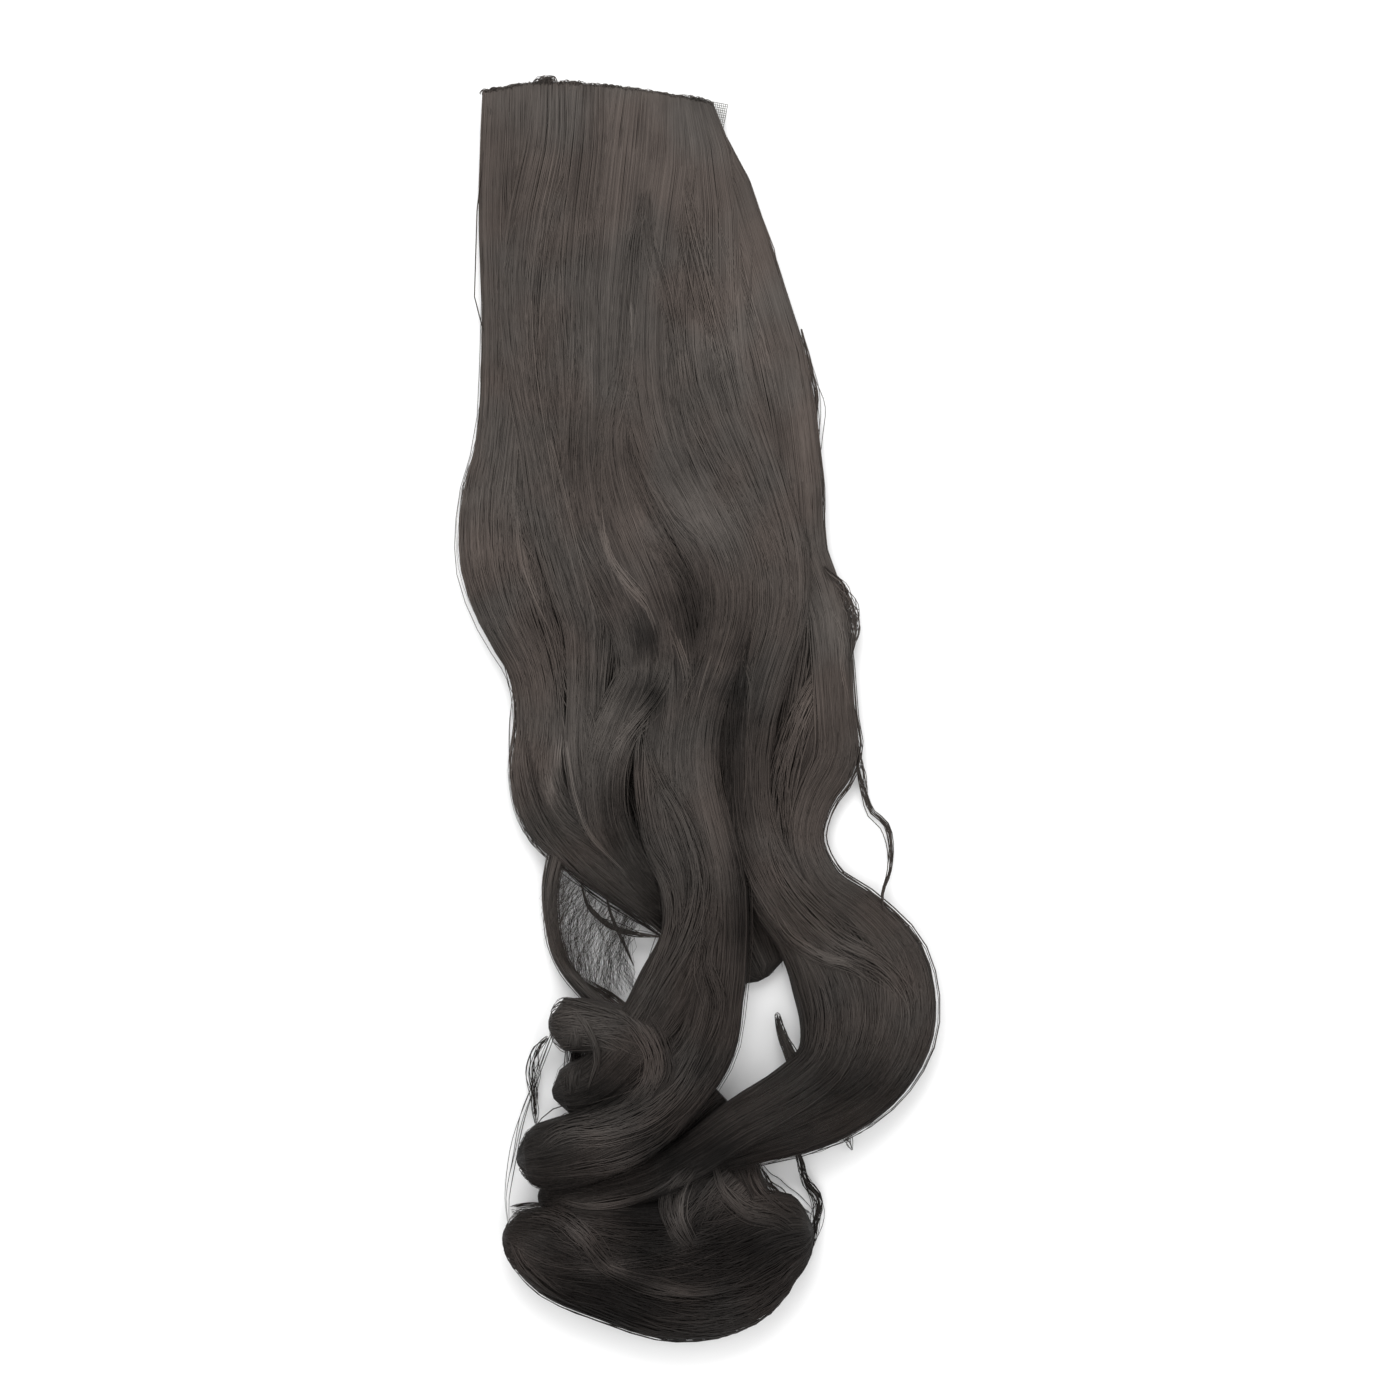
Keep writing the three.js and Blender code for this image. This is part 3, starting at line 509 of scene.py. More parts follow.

# Waves that lie over the locks: half width as a share of LOCK_WIDTH, tone from dark to light, how many
# strands, and the places along them as shares of LAYOUT_WIDTH and HAIR_LENGTH. The light tones of the
# shine and bright waves are painted highlights, and the dark wave in the valley between the middle locks
# is painted shade.
WAVES = {
    "left_groove_lock": (
        0.28,
        0.5,
        40,
        [
            (0.224, 0.024), (0.194, 0.048), (0.164, 0.074), (0.136, 0.100), (0.114, 0.132),
            (0.102, 0.168), (0.096, 0.216), (0.084, 0.272), (0.072, 0.328),
        ],
    ),
    "left_upper": (
        0.4,
        0.5,
        44,
        [
            (0.276, 0.024), (0.248, 0.050), (0.216, 0.080), (0.196, 0.114), (0.182, 0.154),
            (0.176, 0.200), (0.182, 0.248), (0.200, 0.304), (0.220, 0.352),
        ],
    ),
    "middle_upper": (
        0.4,
        0.52,
        44,
        [
            (0.328, 0.028), (0.306, 0.064), (0.284, 0.104), (0.268, 0.160), (0.260, 0.216),
            (0.250, 0.272), (0.244, 0.328), (0.268, 0.384), (0.300, 0.424),
        ],
    ),
    "middle_groove_lock": (
        0.28,
        0.6,
        40,
        [
            (0.368, 0.040), (0.384, 0.062), (0.382, 0.086), (0.360, 0.124), (0.348, 0.176),
            (0.338, 0.224), (0.314, 0.272), (0.300, 0.320), (0.304, 0.366), (0.328, 0.400),
        ],
    ),
    "right_of_groove": (
        0.32,
        0.5,
        40,
        [
            (0.400, 0.032), (0.412, 0.064), (0.402, 0.098), (0.412, 0.138), (0.436, 0.178),
            (0.454, 0.224), (0.476, 0.272), (0.524, 0.314), (0.590, 0.346), (0.624, 0.384),
        ],
    ),
    "right_upper": (
        0.36,
        0.55,
        40,
        [
            (0.444, 0.028), (0.466, 0.064), (0.484, 0.112), (0.512, 0.160), (0.544, 0.208),
            (0.578, 0.256), (0.622, 0.304), (0.658, 0.352),
        ],
    ),
    "outer_upper": (
        0.36,
        0.6,
        36,
        [
            (0.500, 0.030), (0.526, 0.066), (0.560, 0.114), (0.604, 0.168), (0.642, 0.218),
            (0.672, 0.272), (0.684, 0.328), (0.680, 0.376),
        ],
    ),
    "bright_line": (0.04, 0.95, 6, [(0.362, 0.157), (0.364, 0.189), (0.366, 0.226)]),
    "left_cover": (
        0.36,
        0.45,
        44,
        [
            (0.100, 0.264), (0.124, 0.312), (0.156, 0.364), (0.196, 0.416), (0.224, 0.462),
        ],
    ),
    "middle_cover": (
        0.3,
        0.42,
        50,
        [
            (0.332, 0.264), (0.372, 0.312), (0.424, 0.357), (0.476, 0.398), (0.504, 0.444),
        ],
    ),
    "left_diagonal": (
        0.12,
        0.75,
        20,
        [
            (0.142, 0.229), (0.166, 0.250), (0.194, 0.275), (0.220, 0.312), (0.248, 0.358),
            (0.280, 0.406), (0.314, 0.446),
        ],
    ),
    "left_shine": (
        0.08,
        0.95,
        14,
        [
            (0.134, 0.304), (0.134, 0.336), (0.138, 0.364), (0.152, 0.388), (0.180, 0.416),
            (0.220, 0.448),
        ],
    ),
    "bright_strand": (
        0.12,
        1.1,
        26,
        [
            (0.304, 0.304), (0.304, 0.344), (0.320, 0.373), (0.354, 0.394), (0.390, 0.411),
            (0.412, 0.434), (0.428, 0.458),
        ],
    ),
    "fan_left": (
        0.28,
        0.5,
        34,
        [
            (0.320, 0.280), (0.344, 0.320), (0.384, 0.350), (0.430, 0.373), (0.468, 0.400),
            (0.488, 0.440),
        ],
    ),
    "fan_middle": (
        0.28,
        0.55,
        34,
        [
            (0.380, 0.272), (0.410, 0.312), (0.460, 0.344), (0.508, 0.370), (0.532, 0.408),
            (0.536, 0.448),
        ],
    ),
    "fan_right": (
        0.28,
        0.6,
        40,
        [
            (0.480, 0.248), (0.522, 0.280), (0.578, 0.312), (0.630, 0.344), (0.672, 0.384),
            (0.698, 0.426), (0.690, 0.472), (0.664, 0.524),
        ],
    ),
    "s_lock": (
        0.24,
        0.75,
        44,
        [
            (0.404, 0.376), (0.422, 0.408), (0.432, 0.444), (0.420, 0.475), (0.382, 0.499),
            (0.338, 0.523), (0.308, 0.557), (0.284, 0.590),
        ],
    ),
    "s_lock_inner": (
        0.18,
        0.55,
        26,
        [
            (0.300, 0.376), (0.322, 0.408), (0.344, 0.435), (0.352, 0.459), (0.322, 0.485),
            (0.288, 0.515), (0.272, 0.552),
        ],
    ),
    "middle_wave": (
        0.24,
        0.5,
        34,
        [
            (0.480, 0.376), (0.512, 0.408), (0.524, 0.446), (0.504, 0.480), (0.480, 0.520),
            (0.482, 0.568), (0.504, 0.608),
        ],
    ),
    "middle_bright": (
        0.06,
        1.1,
        12,
        [
            (0.548, 0.430), (0.524, 0.451), (0.508, 0.469), (0.496, 0.491), (0.492, 0.520),
        ],
    ),
    "middle_light": (
        0.1,
        0.95,
        18,
        [
            (0.408, 0.400), (0.428, 0.418), (0.450, 0.440), (0.468, 0.462), (0.476, 0.488),
        ],
    ),
    "valley_light": (
        0.08,
        0.8,
        12,
        [
            (0.560, 0.448), (0.588, 0.459), (0.604, 0.480), (0.600, 0.504), (0.584, 0.536),
        ],
    ),
    # Dark strands laid as painted shade in the valley between the middle locks.
    "painted_shade_valley": (
        0.28,
        0.12,
        40,
        [
            (0.584, 0.376), (0.584, 0.416), (0.580, 0.452), (0.566, 0.492), (0.560, 0.536),
            (0.566, 0.584), (0.576, 0.632),
        ],
    ),
    "right_inner": (
        0.16,
        0.75,
        20,
        [
            (0.624, 0.440), (0.604, 0.472), (0.594, 0.512), (0.590, 0.560), (0.576, 0.608),
        ],
    ),
    "right_curl": (
        0.14,
        1.0,
        24,
        [
            (0.712, 0.405), (0.736, 0.410), (0.766, 0.422), (0.782, 0.440), (0.786, 0.462),
            (0.798, 0.488), (0.810, 0.517),
        ],
    ),
    "right_turn": (
        0.32,
        0.7,
        50,
        [
            (0.772, 0.440), (0.744, 0.469), (0.704, 0.501), (0.676, 0.536), (0.664, 0.572),
            (0.676, 0.608), (0.712, 0.640),
        ],
    ),
    "centre_twist": (
        0.36,
        0.5,
        50,
        [
            (0.396, 0.516), (0.426, 0.552), (0.472, 0.590), (0.496, 0.632), (0.476, 0.672),
            (0.426, 0.714), (0.380, 0.752),
        ],
    ),
    "centre_twist_left": (
        0.24,
        0.55,
        34,
        [
            (0.372, 0.568), (0.400, 0.605), (0.436, 0.635), (0.444, 0.666), (0.416, 0.698),
            (0.372, 0.731),
        ],
    ),
    "centre_right_edge": (
        0.2,
        0.4,
        30,
        [
            (0.524, 0.616), (0.532, 0.656), (0.516, 0.696), (0.532, 0.731), (0.504, 0.768),
            (0.460, 0.800),
        ],
    ),
    "arm_upper": (
        0.32,
        0.6,
        46,
        [
            (0.636, 0.584), (0.648, 0.616), (0.694, 0.648), (0.772, 0.678), (0.856, 0.698),
            (0.908, 0.725), (0.916, 0.760),
        ],
    ),
    "arm_shine": (
        0.18,
        0.9,
        24,
        [
            (0.640, 0.652), (0.680, 0.677), (0.740, 0.693), (0.800, 0.702), (0.844, 0.715),
        ],
    ),
    "left_inner_fall": (
        0.2,
        0.5,
        30,
        [
            (0.212, 0.440), (0.246, 0.480), (0.274, 0.512), (0.280, 0.552), (0.300, 0.592),
            (0.372, 0.626),
        ],
    ),
    "left_roll": (
        0.24,
        0.35,
        40,
        [
            (0.144, 0.488), (0.146, 0.522), (0.162, 0.560), (0.198, 0.592), (0.260, 0.622),
            (0.336, 0.648), (0.396, 0.666),
        ],
    ),
    "left_shine_low": (
        0.08,
        1.1,
        14,
        [
            (0.224, 0.501), (0.232, 0.523), (0.240, 0.546), (0.252, 0.568), (0.276, 0.592),
            (0.312, 0.610), (0.352, 0.626),
        ],
    ),
    "knob_strand": (
        0.22,
        0.75,
        44,
        [
            (0.268, 0.715), (0.324, 0.730), (0.376, 0.746), (0.408, 0.770), (0.396, 0.794),
            (0.344, 0.813), (0.284, 0.822),
        ],
    ),
    "knob_shine": (0.12, 0.5, 20, [(0.252, 0.734), (0.280, 0.750), (0.296, 0.771), (0.280, 0.795)]),
    "knob_fill": (
        0.18,
        0.3,
        64,
        [
            (0.252, 0.747), (0.254, 0.760), (0.252, 0.773), (0.246, 0.786), (0.244, 0.798),
        ],
    ),
    "knob_side": (
        0.18,
        0.4,
        24,
        [
            (0.400, 0.738), (0.428, 0.760), (0.436, 0.784), (0.400, 0.803), (0.340, 0.814),
        ],
    ),
    "second_roll": (
        0.34,
        0.85,
        60,
        [
            (0.500, 0.760), (0.452, 0.792), (0.386, 0.813), (0.308, 0.824), (0.232, 0.830),
            (0.180, 0.845),
        ],
    ),
    "second_roll_low": (
        0.2,
        0.6,
        34,
        [
            (0.480, 0.816), (0.424, 0.840), (0.352, 0.854), (0.268, 0.861), (0.196, 0.864),
        ],
    ),
    "second_roll_edge": (
        0.1,
        0.9,
        24,
        [
            (0.480, 0.856), (0.420, 0.875), (0.352, 0.886), (0.280, 0.890), (0.220, 0.886),
        ],
    ),
    "light_tuft": (
        0.16,
        1.0,
        34,
        [
            (0.468, 0.861), (0.444, 0.877), (0.436, 0.893), (0.454, 0.909), (0.484, 0.925),
        ],
    ),
    "light_tuft_inner": (
        0.14,
        0.9,
        26,
        [
            (0.488, 0.862), (0.464, 0.878), (0.458, 0.893), (0.468, 0.907), (0.488, 0.922),
        ],
    ),
    "inner_fan": (
        0.24,
        0.85,
        44,
        [
            (0.532, 0.861), (0.552, 0.880), (0.592, 0.894), (0.652, 0.901), (0.700, 0.912),
        ],
    ),
    "inner_fan_right": (0.16, 0.7, 26, [(0.604, 0.856), (0.624, 0.875), (0.668, 0.890), (0.712, 0.901)]),
    "bottom_shine": (
        0.24,
        0.75,
        36,
        [
            (0.136, 0.899), (0.204, 0.899), (0.260, 0.912), (0.300, 0.930), (0.344, 0.946),
        ],
    ),
    "bottom_middle": (
        0.24,
        0.7,
        40,
        [
            (0.292, 0.934), (0.360, 0.947), (0.428, 0.955), (0.500, 0.958), (0.584, 0.952),
        ],
    ),
    "bottom_left": (0.14, 0.6, 22, [(0.124, 0.917), (0.152, 0.938), (0.200, 0.955), (0.268, 0.971)]),
}

# Stray strands that the photograph shows one by one: how many hairs, how far they spread in metres, and a
# line of places as shares of LAYOUT_WIDTH, HAIR_LENGTH and PILE_HEIGHT.
LOOSE_STRANDS = {
    "right_loop": (
        16,
        0.0008,
        [
            (0.812, 0.530, 0.20), (0.820, 0.548, 0.12), (0.834, 0.566, 0.08), (0.846, 0.578, 0.06),
            (0.874, 0.588, 0.06), (0.884, 0.604, 0.06), (0.880, 0.626, 0.10), (0.866, 0.642, 0.20),
            (0.866, 0.656, 0.36),
        ],
    ),
    "lower_right_wisp": (
        26,
        0.0014,
        [
            (0.690, 0.838, 0.30), (0.702, 0.858, 0.20), (0.716, 0.876, 0.10), (0.738, 0.890, 0.08),
            (0.734, 0.906, 0.12), (0.722, 0.926, 0.30), (0.708, 0.936, 0.46),
        ],
    ),
    "left_wisp": (
        13,
        0.0015,
        [
            (0.194, 0.758, 0.30), (0.174, 0.768, 0.16), (0.164, 0.782, 0.08), (0.162, 0.794, 0.06),
            (0.168, 0.810, 0.08), (0.172, 0.828, 0.20),
        ],
    ),
    "left_long_wisp": (
        4,
        0.0014,
        [
            (0.222, 0.738, 0.40), (0.176, 0.786, 0.12), (0.144, 0.820, 0.06), (0.124, 0.856, 0.06),
            (0.112, 0.886, 0.12), (0.116, 0.906, 0.24),
        ],
    ),
    "arm_wisp": (
        7,
        0.0012,
        [
            (0.770, 0.826, 0.30), (0.788, 0.834, 0.14), (0.800, 0.842, 0.08), (0.806, 0.850, 0.06),
        ],
    ),
    "net_upper": (
        24,
        0.0008,
        [
            (0.262, 0.636, 0.24), (0.274, 0.652, 0.16), (0.300, 0.664, 0.12), (0.340, 0.673, 0.14),
            (0.424, 0.678, 0.28),
        ],
    ),
    "net_inner": (
        10,
        0.0004,
        [
            (0.312, 0.646, 0.24), (0.322, 0.660, 0.16), (0.340, 0.676, 0.14), (0.368, 0.701, 0.26),
        ],
    ),
    "right_bulge": (
        14,
        0.0010,
        [
            (0.704, 0.190, 0.14), (0.722, 0.220, 0.10), (0.736, 0.250, 0.08), (0.732, 0.284, 0.10),
            (0.724, 0.310, 0.16),
        ],
    ),
    "right_shoulder": (
        44,
        0.0020,
        [
            (0.748, 0.381, 0.30), (0.774, 0.394, 0.26), (0.794, 0.406, 0.22), (0.804, 0.419, 0.20),
            (0.806, 0.435, 0.20), (0.800, 0.456, 0.24),
        ],
    ),
    "loop_root": (
        9,
        0.0010,
        [
            (0.800, 0.506, 0.26), (0.814, 0.526, 0.16), (0.826, 0.547, 0.10), (0.832, 0.565, 0.08),
            (0.844, 0.578, 0.06),
        ],
    ),
}

# The two edges of the left opening that the fine hairs of the net run between.
NET_EDGES = {
    "upper": [(0.222, 0.622, 0.28), (0.250, 0.635, 0.24), (0.300, 0.648, 0.24), (0.376, 0.664, 0.24)],
    "lower": [(0.202, 0.672, 0.16), (0.224, 0.700, 0.18), (0.290, 0.732, 0.18), (0.366, 0.720, 0.22)],
}

# Bumps of short hair along the top edge of the band: the place and reach as shares of BAND_WIDTH, the height
# as a share of BAND_DEPTH and how many hairs.
BAND_BUMPS = [
    (0.015, 0.012, 0.14, 26),
    (0.13, 0.035, 0.10, 30),
    (0.265, 0.022, 0.34, 70),
    (0.38, 0.030, 0.13, 34),
    (0.57, 0.070, 0.10, 40),
    (0.80, 0.050, 0.07, 20),
    (0.93, 0.040, 0.13, 34),
]

# Locks whose outer edge has flyaways: which side of the lock they stand off, and their share of all of them.
FLYAWAY_EDGES = {"left_edge": (-1, 0.5), "right_edge": (1, 0.32), "right_fall": (1, 0.18)}


def length_setting(name, description, default, least):
    """A length that a user would change."""
    return bpy.props.FloatProperty(
        name=name, description=description, default=default, min=least, unit="LENGTH"
    )


def colour_setting(name, description, *default):
    """An opaque colour that a user would change."""
    return bpy.props.FloatVectorProperty(
        name=name, description=description, subtype="COLOR", size=4, min=0, max=1, default=(*default, 1)
    )


class HairpieceSizes(bpy.types.PropertyGroup):
    """Sizes that a user would change."""

    strand_width: length_setting("Strand width", "Width of one drawn strand at its root", 0.0006, 0.0001)
    stray_width: length_setting("Stray width", "Width of a stray hair", 0.00028, 0.0001)
    thread_width: length_setting("Thread width", "Width of the sewing thread on the band", 0.0004, 0.0002)
    floor_size: length_setting("Floor size", "Side of the pale surface that the hairpiece lies on", 6, 1)


class HairpieceColours(bpy.types.PropertyGroup):
    """Colours that a user would change."""

    hair_dark: colour_setting("Dark hair", "Colour of the darkest strands", 0.0066, 0.0059, 0.0054)
    hair_light: colour_setting("Light hair", "Colour of light strands", 0.108, 0.0925, 0.0830)
    thread: colour_setting("Thread", "Colour of the sewing thread", 0.020, 0.016, 0.014)
    lace: colour_setting("Lace", "Colour of the lace tape", 0.13, 0.13, 0.115)
    clip: colour_setting("Clip", "Colour of the painted snap clips", 0.030, 0.024, 0.020)
    floor: colour_setting("Floor", "Colour of the surface that the hairpiece lies on", 0.94, 0.94, 0.94)


def between_rows(rows, shares):
    """Values of a smooth curve through rows, at shares of it from 0 to 1."""
    rows = np.asarray(rows, float)
    joined = np.vstack([2 * rows[0] - rows[1], rows, 2 * rows[-1] - rows[-2]])
    place = np.clip(np.asarray(shares, float), 0, 1) * (len(rows) - 1)
    index = np.minimum(place.astype(int), len(rows) - 2)
    part = (place - index)[:, None]
    before, here, there, after = (joined[index + step] for step in range(4))
    slope_here = (there - before) / 2
    slope_there = (after - here) / 2
    square = part * part
    cube = square * part
    return (
        (2 * cube - 3 * square + 1) * here
        + (cube - 2 * square + part) * slope_here
        + (3 * square - 2 * cube) * there
        + (cube - square) * slope_there
    )


def evenly(rows, count):
    """Rows at even distances along a curve through rows, whose first three columns are its place."""
    fine = between_rows(rows, np.linspace(0, 1, len(rows) * 30))
    steps = np.linalg.norm(np.diff(fine[:, :3], axis=0), axis=1)
    reach = np.concatenate([[0], np.cumsum(steps)])
    wanted = np.linspace(0, reach[-1], count)
    return np.stack([np.interp(wanted, reach, column) for column in fine.T], axis=1), reach[-1]


def taken_at(at, columns):
    """Columns of values at even steps, read at shares of their length from 0 to 1."""
    steps = np.linspace(0, 1, len(columns))
    return np.stack([np.interp(at, steps, column) for column in columns.T], axis=-1)


def layout_places(rows):
    """Across, down and up shares, the first three columns of rows, as points before the frame's shift."""
    rows = np.asarray(rows, float)
    x = (rows[:, 0] - 0.5) * LAYOUT_WIDTH
    y = (0.5 - rows[:, 1]) * HAIR_LENGTH
    return np.stack([x, y, rows[:, 2] * PILE_HEIGHT], axis=1)


def line_places(line):
    """A line of across and down shares as points at height 0, before the frame's shift."""
    return layout_places([(across, down, 0) for across, down in line])


def band_points(height, distances):
    """Points along the band's middle line, at distances from its left end, before the frame's shift."""
    places = line_places(BAND_LINE)
    places[:, 2] = height
    even, length = evenly(places, BAND_STEPS)
    reach = np.linspace(0, length, BAND_STEPS)
    return np.stack([np.interp(distances, reach, column) for column in even.T], axis=1)


def frame_shift():
    """How far the layout is moved to put the origin under the middle of the piece, from where a clip is."""
    low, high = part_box("clip_left")
    clip = band_points(0, [BAND_START + CLIP_LEFT_PLACE * BAND_WIDTH])[0]
    return np.array([(low.x + high.x) / 2 - clip[0], (low.y + high.y) / 2 - clip[1], low.z])


SHIFT = frame_shift()


def lock_rows(name):
    """A lock's sections in the frame: their middles, widths and thicknesses."""
    rows = np.array(LOCKS[name])
    return np.hstack([layout_places(rows) + SHIFT, rows[:, 3:] * (LOCK_WIDTH, LOCK_THICKNESS)])


def band_ends():
    """The two ends of the band's middle line in the frame."""
    return band_points(BAND_HEIGHT, [BAND_START, BAND_END]) + SHIFT


def band_line_y(x):
    """Y of the band's middle line at each x."""
    line = band_points(BAND_HEIGHT, np.linspace(0, BAND_END + TAPE_OVERHANG, 200)) + SHIFT
    return np.interp(x, line[:, 0], line[:, 1])


def drawn_in(places):
    """Places near the right end of the band moved inwards, so that the hair ends where the band does."""
    right = band_ends()[1][0]
    below = np.maximum(band_line_y(places[..., 0]) - places[..., 1], 0)
    outer = np.clip((places[..., 0] - right) / DRAWN_IN_REACH + 0.8, 0, 1)
    moved = places.copy()
    moved[..., 0] -= DRAWN_IN * outer * np.exp(-((below / DRAWN_IN_DEPTH) ** 2))
    return moved


def carried_frames(places):
    """Side and up directions along lines of points, carried from ring to ring so that they never twist."""
    tangents = np.gradient(places, axis=-2)
    tangents /= np.linalg.norm(tangents, axis=-1, keepdims=True) + 1e-12
    ups = np.zeros_like(places)
    up = np.zeros_like(places[..., 0, :])
    up[..., 2] = 1
    for ring in range(places.shape[-2]):
        tangent = tangents[..., ring, :]
        up = up - tangent * np.sum(up * tangent, axis=-1, keepdims=True)
        up /= np.linalg.norm(up, axis=-1, keepdims=True) + 1e-12
        ups[..., ring, :] = up
    return np.cross(tangents, ups), ups


def smooth_noise(shape, points, waves, random):
    """Rows of smooth noise from about -1 to 1, with up to that many waves along each row."""
    along = np.linspace(0, 1, points)
    total = np.zeros((*shape, points))
    for wave in range(1, waves + 1):
        size = random.normal(0, 1, shape)[..., None] / wave**0.7
        start = random.uniform(0, 2 * math.pi, shape)[..., None]
        pace = wave * random.uniform(0.7, 1.3, shape)[..., None]
        total += size * np.sin(2 * math.pi * pace * along + start)
    return total / math.sqrt(sum(0.5 / wave**1.4 for wave in range(1, waves + 1))) / 1.6


def eased(values, times):
    """Rows of values smoothed along their last axis, with their ends kept."""
    values = values.copy()
    for _ in range(times):
        values[..., 1:-1] = (values[..., :-2] + 2 * values[..., 1:-1] + values[..., 2:]) / 4
    return values


def round_end(share):
    """How wide a rounded end is, from 0 at its tip to 1 where share reaches 1."""
    return np.sqrt(np.clip(1 - (1 - np.clip(share, 0, 1)) ** 2, 0.03, 1))


def painted_light_and_tone(places):
    """Change of tone at places in the frame: painted highlights and shade, with some of the hair's
    own uneven tone.
    """
    across = (places[..., 0] - SHIFT[0]) / LAYOUT_WIDTH + 0.5
    down = 0.5 - (places[..., 1] - SHIFT[1]) / HAIR_LENGTH
    total = np.zeros(across.shape)
    for middle_across, middle_down, reach_across, reach_down, amount in LIGHT_AND_SHADE_PATCHES:
        far = ((across - middle_across) / reach_across) ** 2 + ((down - middle_down) / reach_down) ** 2
        total += amount * np.exp(-far)
    return total


def raised(places, least=LOWEST_STRAND):
    """Places with none of them lower than a height."""
    places[..., 2] = np.maximum(places[..., 2], least)
    return places


def finished(shape, name):
    """A mesh with the form of a bmesh, which is freed."""
    mesh = bpy.data.meshes.new(name)
    shape.to_mesh(mesh)
    shape.free()
    return mesh


def put_places(mesh, points):
    """Moves every vertex of a mesh to a point."""
    mesh.vertices.foreach_set("co", points.astype(np.float32).ravel())


def put_values(mesh, label, values):
    """Gives each vertex of a mesh a value that its material reads."""
    attribute = mesh.attributes.new(label, "FLOAT", "POINT")
    attribute.data.foreach_set("value", np.asarray(values, np.float32).ravel())


def tube_pattern(corners, rings):
    """A closed tube along Z, with its ring and corner numbers, that every strand is a copy of."""
    pattern = bmesh.new()
    bmesh.ops.create_cone(
        pattern, cap_ends=True, cap_tris=False, segments=corners, radius1=1, radius2=1, depth=1
    )
    rails = [edge for edge in pattern.edges if abs(edge.verts[0].co.z - edge.verts[1].co.z) > 0.5]
    bmesh.ops.subdivide_edges(pattern, edges=rails, cuts=rings - 2, use_grid_fill=True)
    mesh = finished(pattern, "tube_pattern")
    places = np.array([vertex.co for vertex in mesh.vertices])
    ring = np.rint((0.5 - places[:, 2]) * (rings - 1)).astype(int)
    angle = np.arctan2(places[:, 1], places[:, 0])
    return mesh, ring, angle


def around_line(line, ring, across, above):
    """Points beside and above a line, each from one of its rings."""
    sides, ups = carried_frames(line)
    return line[ring] + sides[ring] * across[:, None] + ups[ring] * above[:, None]


def many_copies(mesh, count):
    """One mesh that holds that many copies of a pattern, one after the other."""
    source = bpy.data.objects.new("pattern", mesh)
    bpy.context.scene.collection.objects.link(source)
    array = source.modifiers.new("copies", "ARRAY")
    array.count = count
    array.use_relative_offset = False
    array.use_constant_offset = True
    array.constant_offset_displace = (0, 0, 2)
    graph = bpy.context.evaluated_depsgraph_get()
    joined = bpy.data.meshes.new_from_object(source.evaluated_get(graph))
    bpy.data.objects.remove(source)
    bpy.data.meshes.remove(mesh)
    return joined


def around_tube(mesh, ring, angle, corners, rings, row, lanes):
    """Gives a tube a map whose first axis runs along it, and whose second goes round it in its own lane."""
    around = np.rint((angle / (2 * math.pi) + 0.25) % 1 * corners) % corners
    vertex = np.empty(len(mesh.loops), int)
    mesh.loops.foreach_get("vertex_index", vertex)
    first = np.empty(len(mesh.polygons), int)
    mesh.polygons.foreach_get("loop_start", first)
    size = np.diff(np.append(first, len(vertex)))
    step = around[vertex]
    widest = np.repeat(np.maximum.reduceat(step, first), size)
    step = np.where((widest > corners / 2) & (step == 0), corners, step)
    along = 0.005 + 0.99 * ring[vertex] / (rings - 1)
    places = np.stack([along, (row + 0.03 + 0.94 * step / corners) / lanes], 1)
    layer = mesh.uv_layers.new(name="OFBake")
    layer.uv.foreach_set("vector", places.astype(np.float32).ravel())


def set_side_by_side(mesh, strands, rings):
    """Sets the maps of copied tubes beside each other, in columns that share out the square evenly."""
    columns = max(1, round(math.sqrt(strands * 3 / rings)))
    lanes = math.ceil(strands / columns)
    layer = mesh.uv_layers["OFBake"]
    places = np.empty(len(mesh.loops) * 2, np.float32)
    layer.uv.foreach_get("vector", places)
    places = places.reshape(strands, -1, 2)
    number = np.arange(strands)[:, None]
    places[..., 0] = (places[..., 0] + number // lanes) / columns
    places[..., 1] = (places[..., 1] + number % lanes) / lanes
    layer.uv.foreach_set("vector", places.ravel())


def strand_tubes(name, places, widths, flatness, tones, turns):
    """One mesh of closed thin tubes: places are strands by rings by 3, widths strands by rings."""
    strands, rings = places.shape[:2]
    pattern, ring, angle = tube_pattern(STRAND_CORNERS, rings)
    around_tube(pattern, ring, angle, STRAND_CORNERS, rings, 0, 1)
    mesh = many_copies(pattern, strands)
    set_side_by_side(mesh, strands, rings)
    sides, ups = carried_frames(places)
    turned = angle[None, :] + turns[:, None]
    across = np.cos(turned) * widths[:, ring] * STRAND_RADIUS
    above = np.sin(turned) * widths[:, ring] * STRAND_RADIUS * flatness
    put_places(mesh, places[:, ring] + sides[:, ring] * across[..., None] + ups[:, ring] * above[..., None])
    # Each strand's own tone, with the painted highlights and shade of the patches added.
    tone_and_painted_light = np.clip(tones.reshape(strands, -1) + painted_light_and_tone(places), 0, BRIGHTEST_TONE)
    put_values(mesh, "tone", tone_and_painted_light[:, ring])
    mesh.name = name
    mesh.shade_smooth()
    mesh.update()
    return mesh


def add_piece(name, mesh, material, slot, *nodes):
    """Puts a finished mesh in the scene as a piece that rides on the part."""
    piece = bpy.data.objects.new(name, mesh)
    bpy.context.scene.collection.objects.link(piece)
    piece.data.materials.clear()
    piece.data.materials.append(material)
    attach(piece, "root")
    if nodes:
        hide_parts(*nodes)
    return piece


def add_hair(name, places, widths, tones, random):
    """Adds strands that stand for the outside of the hair's solid."""
    turns = random.uniform(-STRAND_TURN, STRAND_TURN, len(places))
    mesh = strand_tubes(name, places, widths, STRAND_FLATNESS, tones, turns)
    add_piece(name, mesh, shared_material("Hair strands", strand_looks), "hair", "hair")


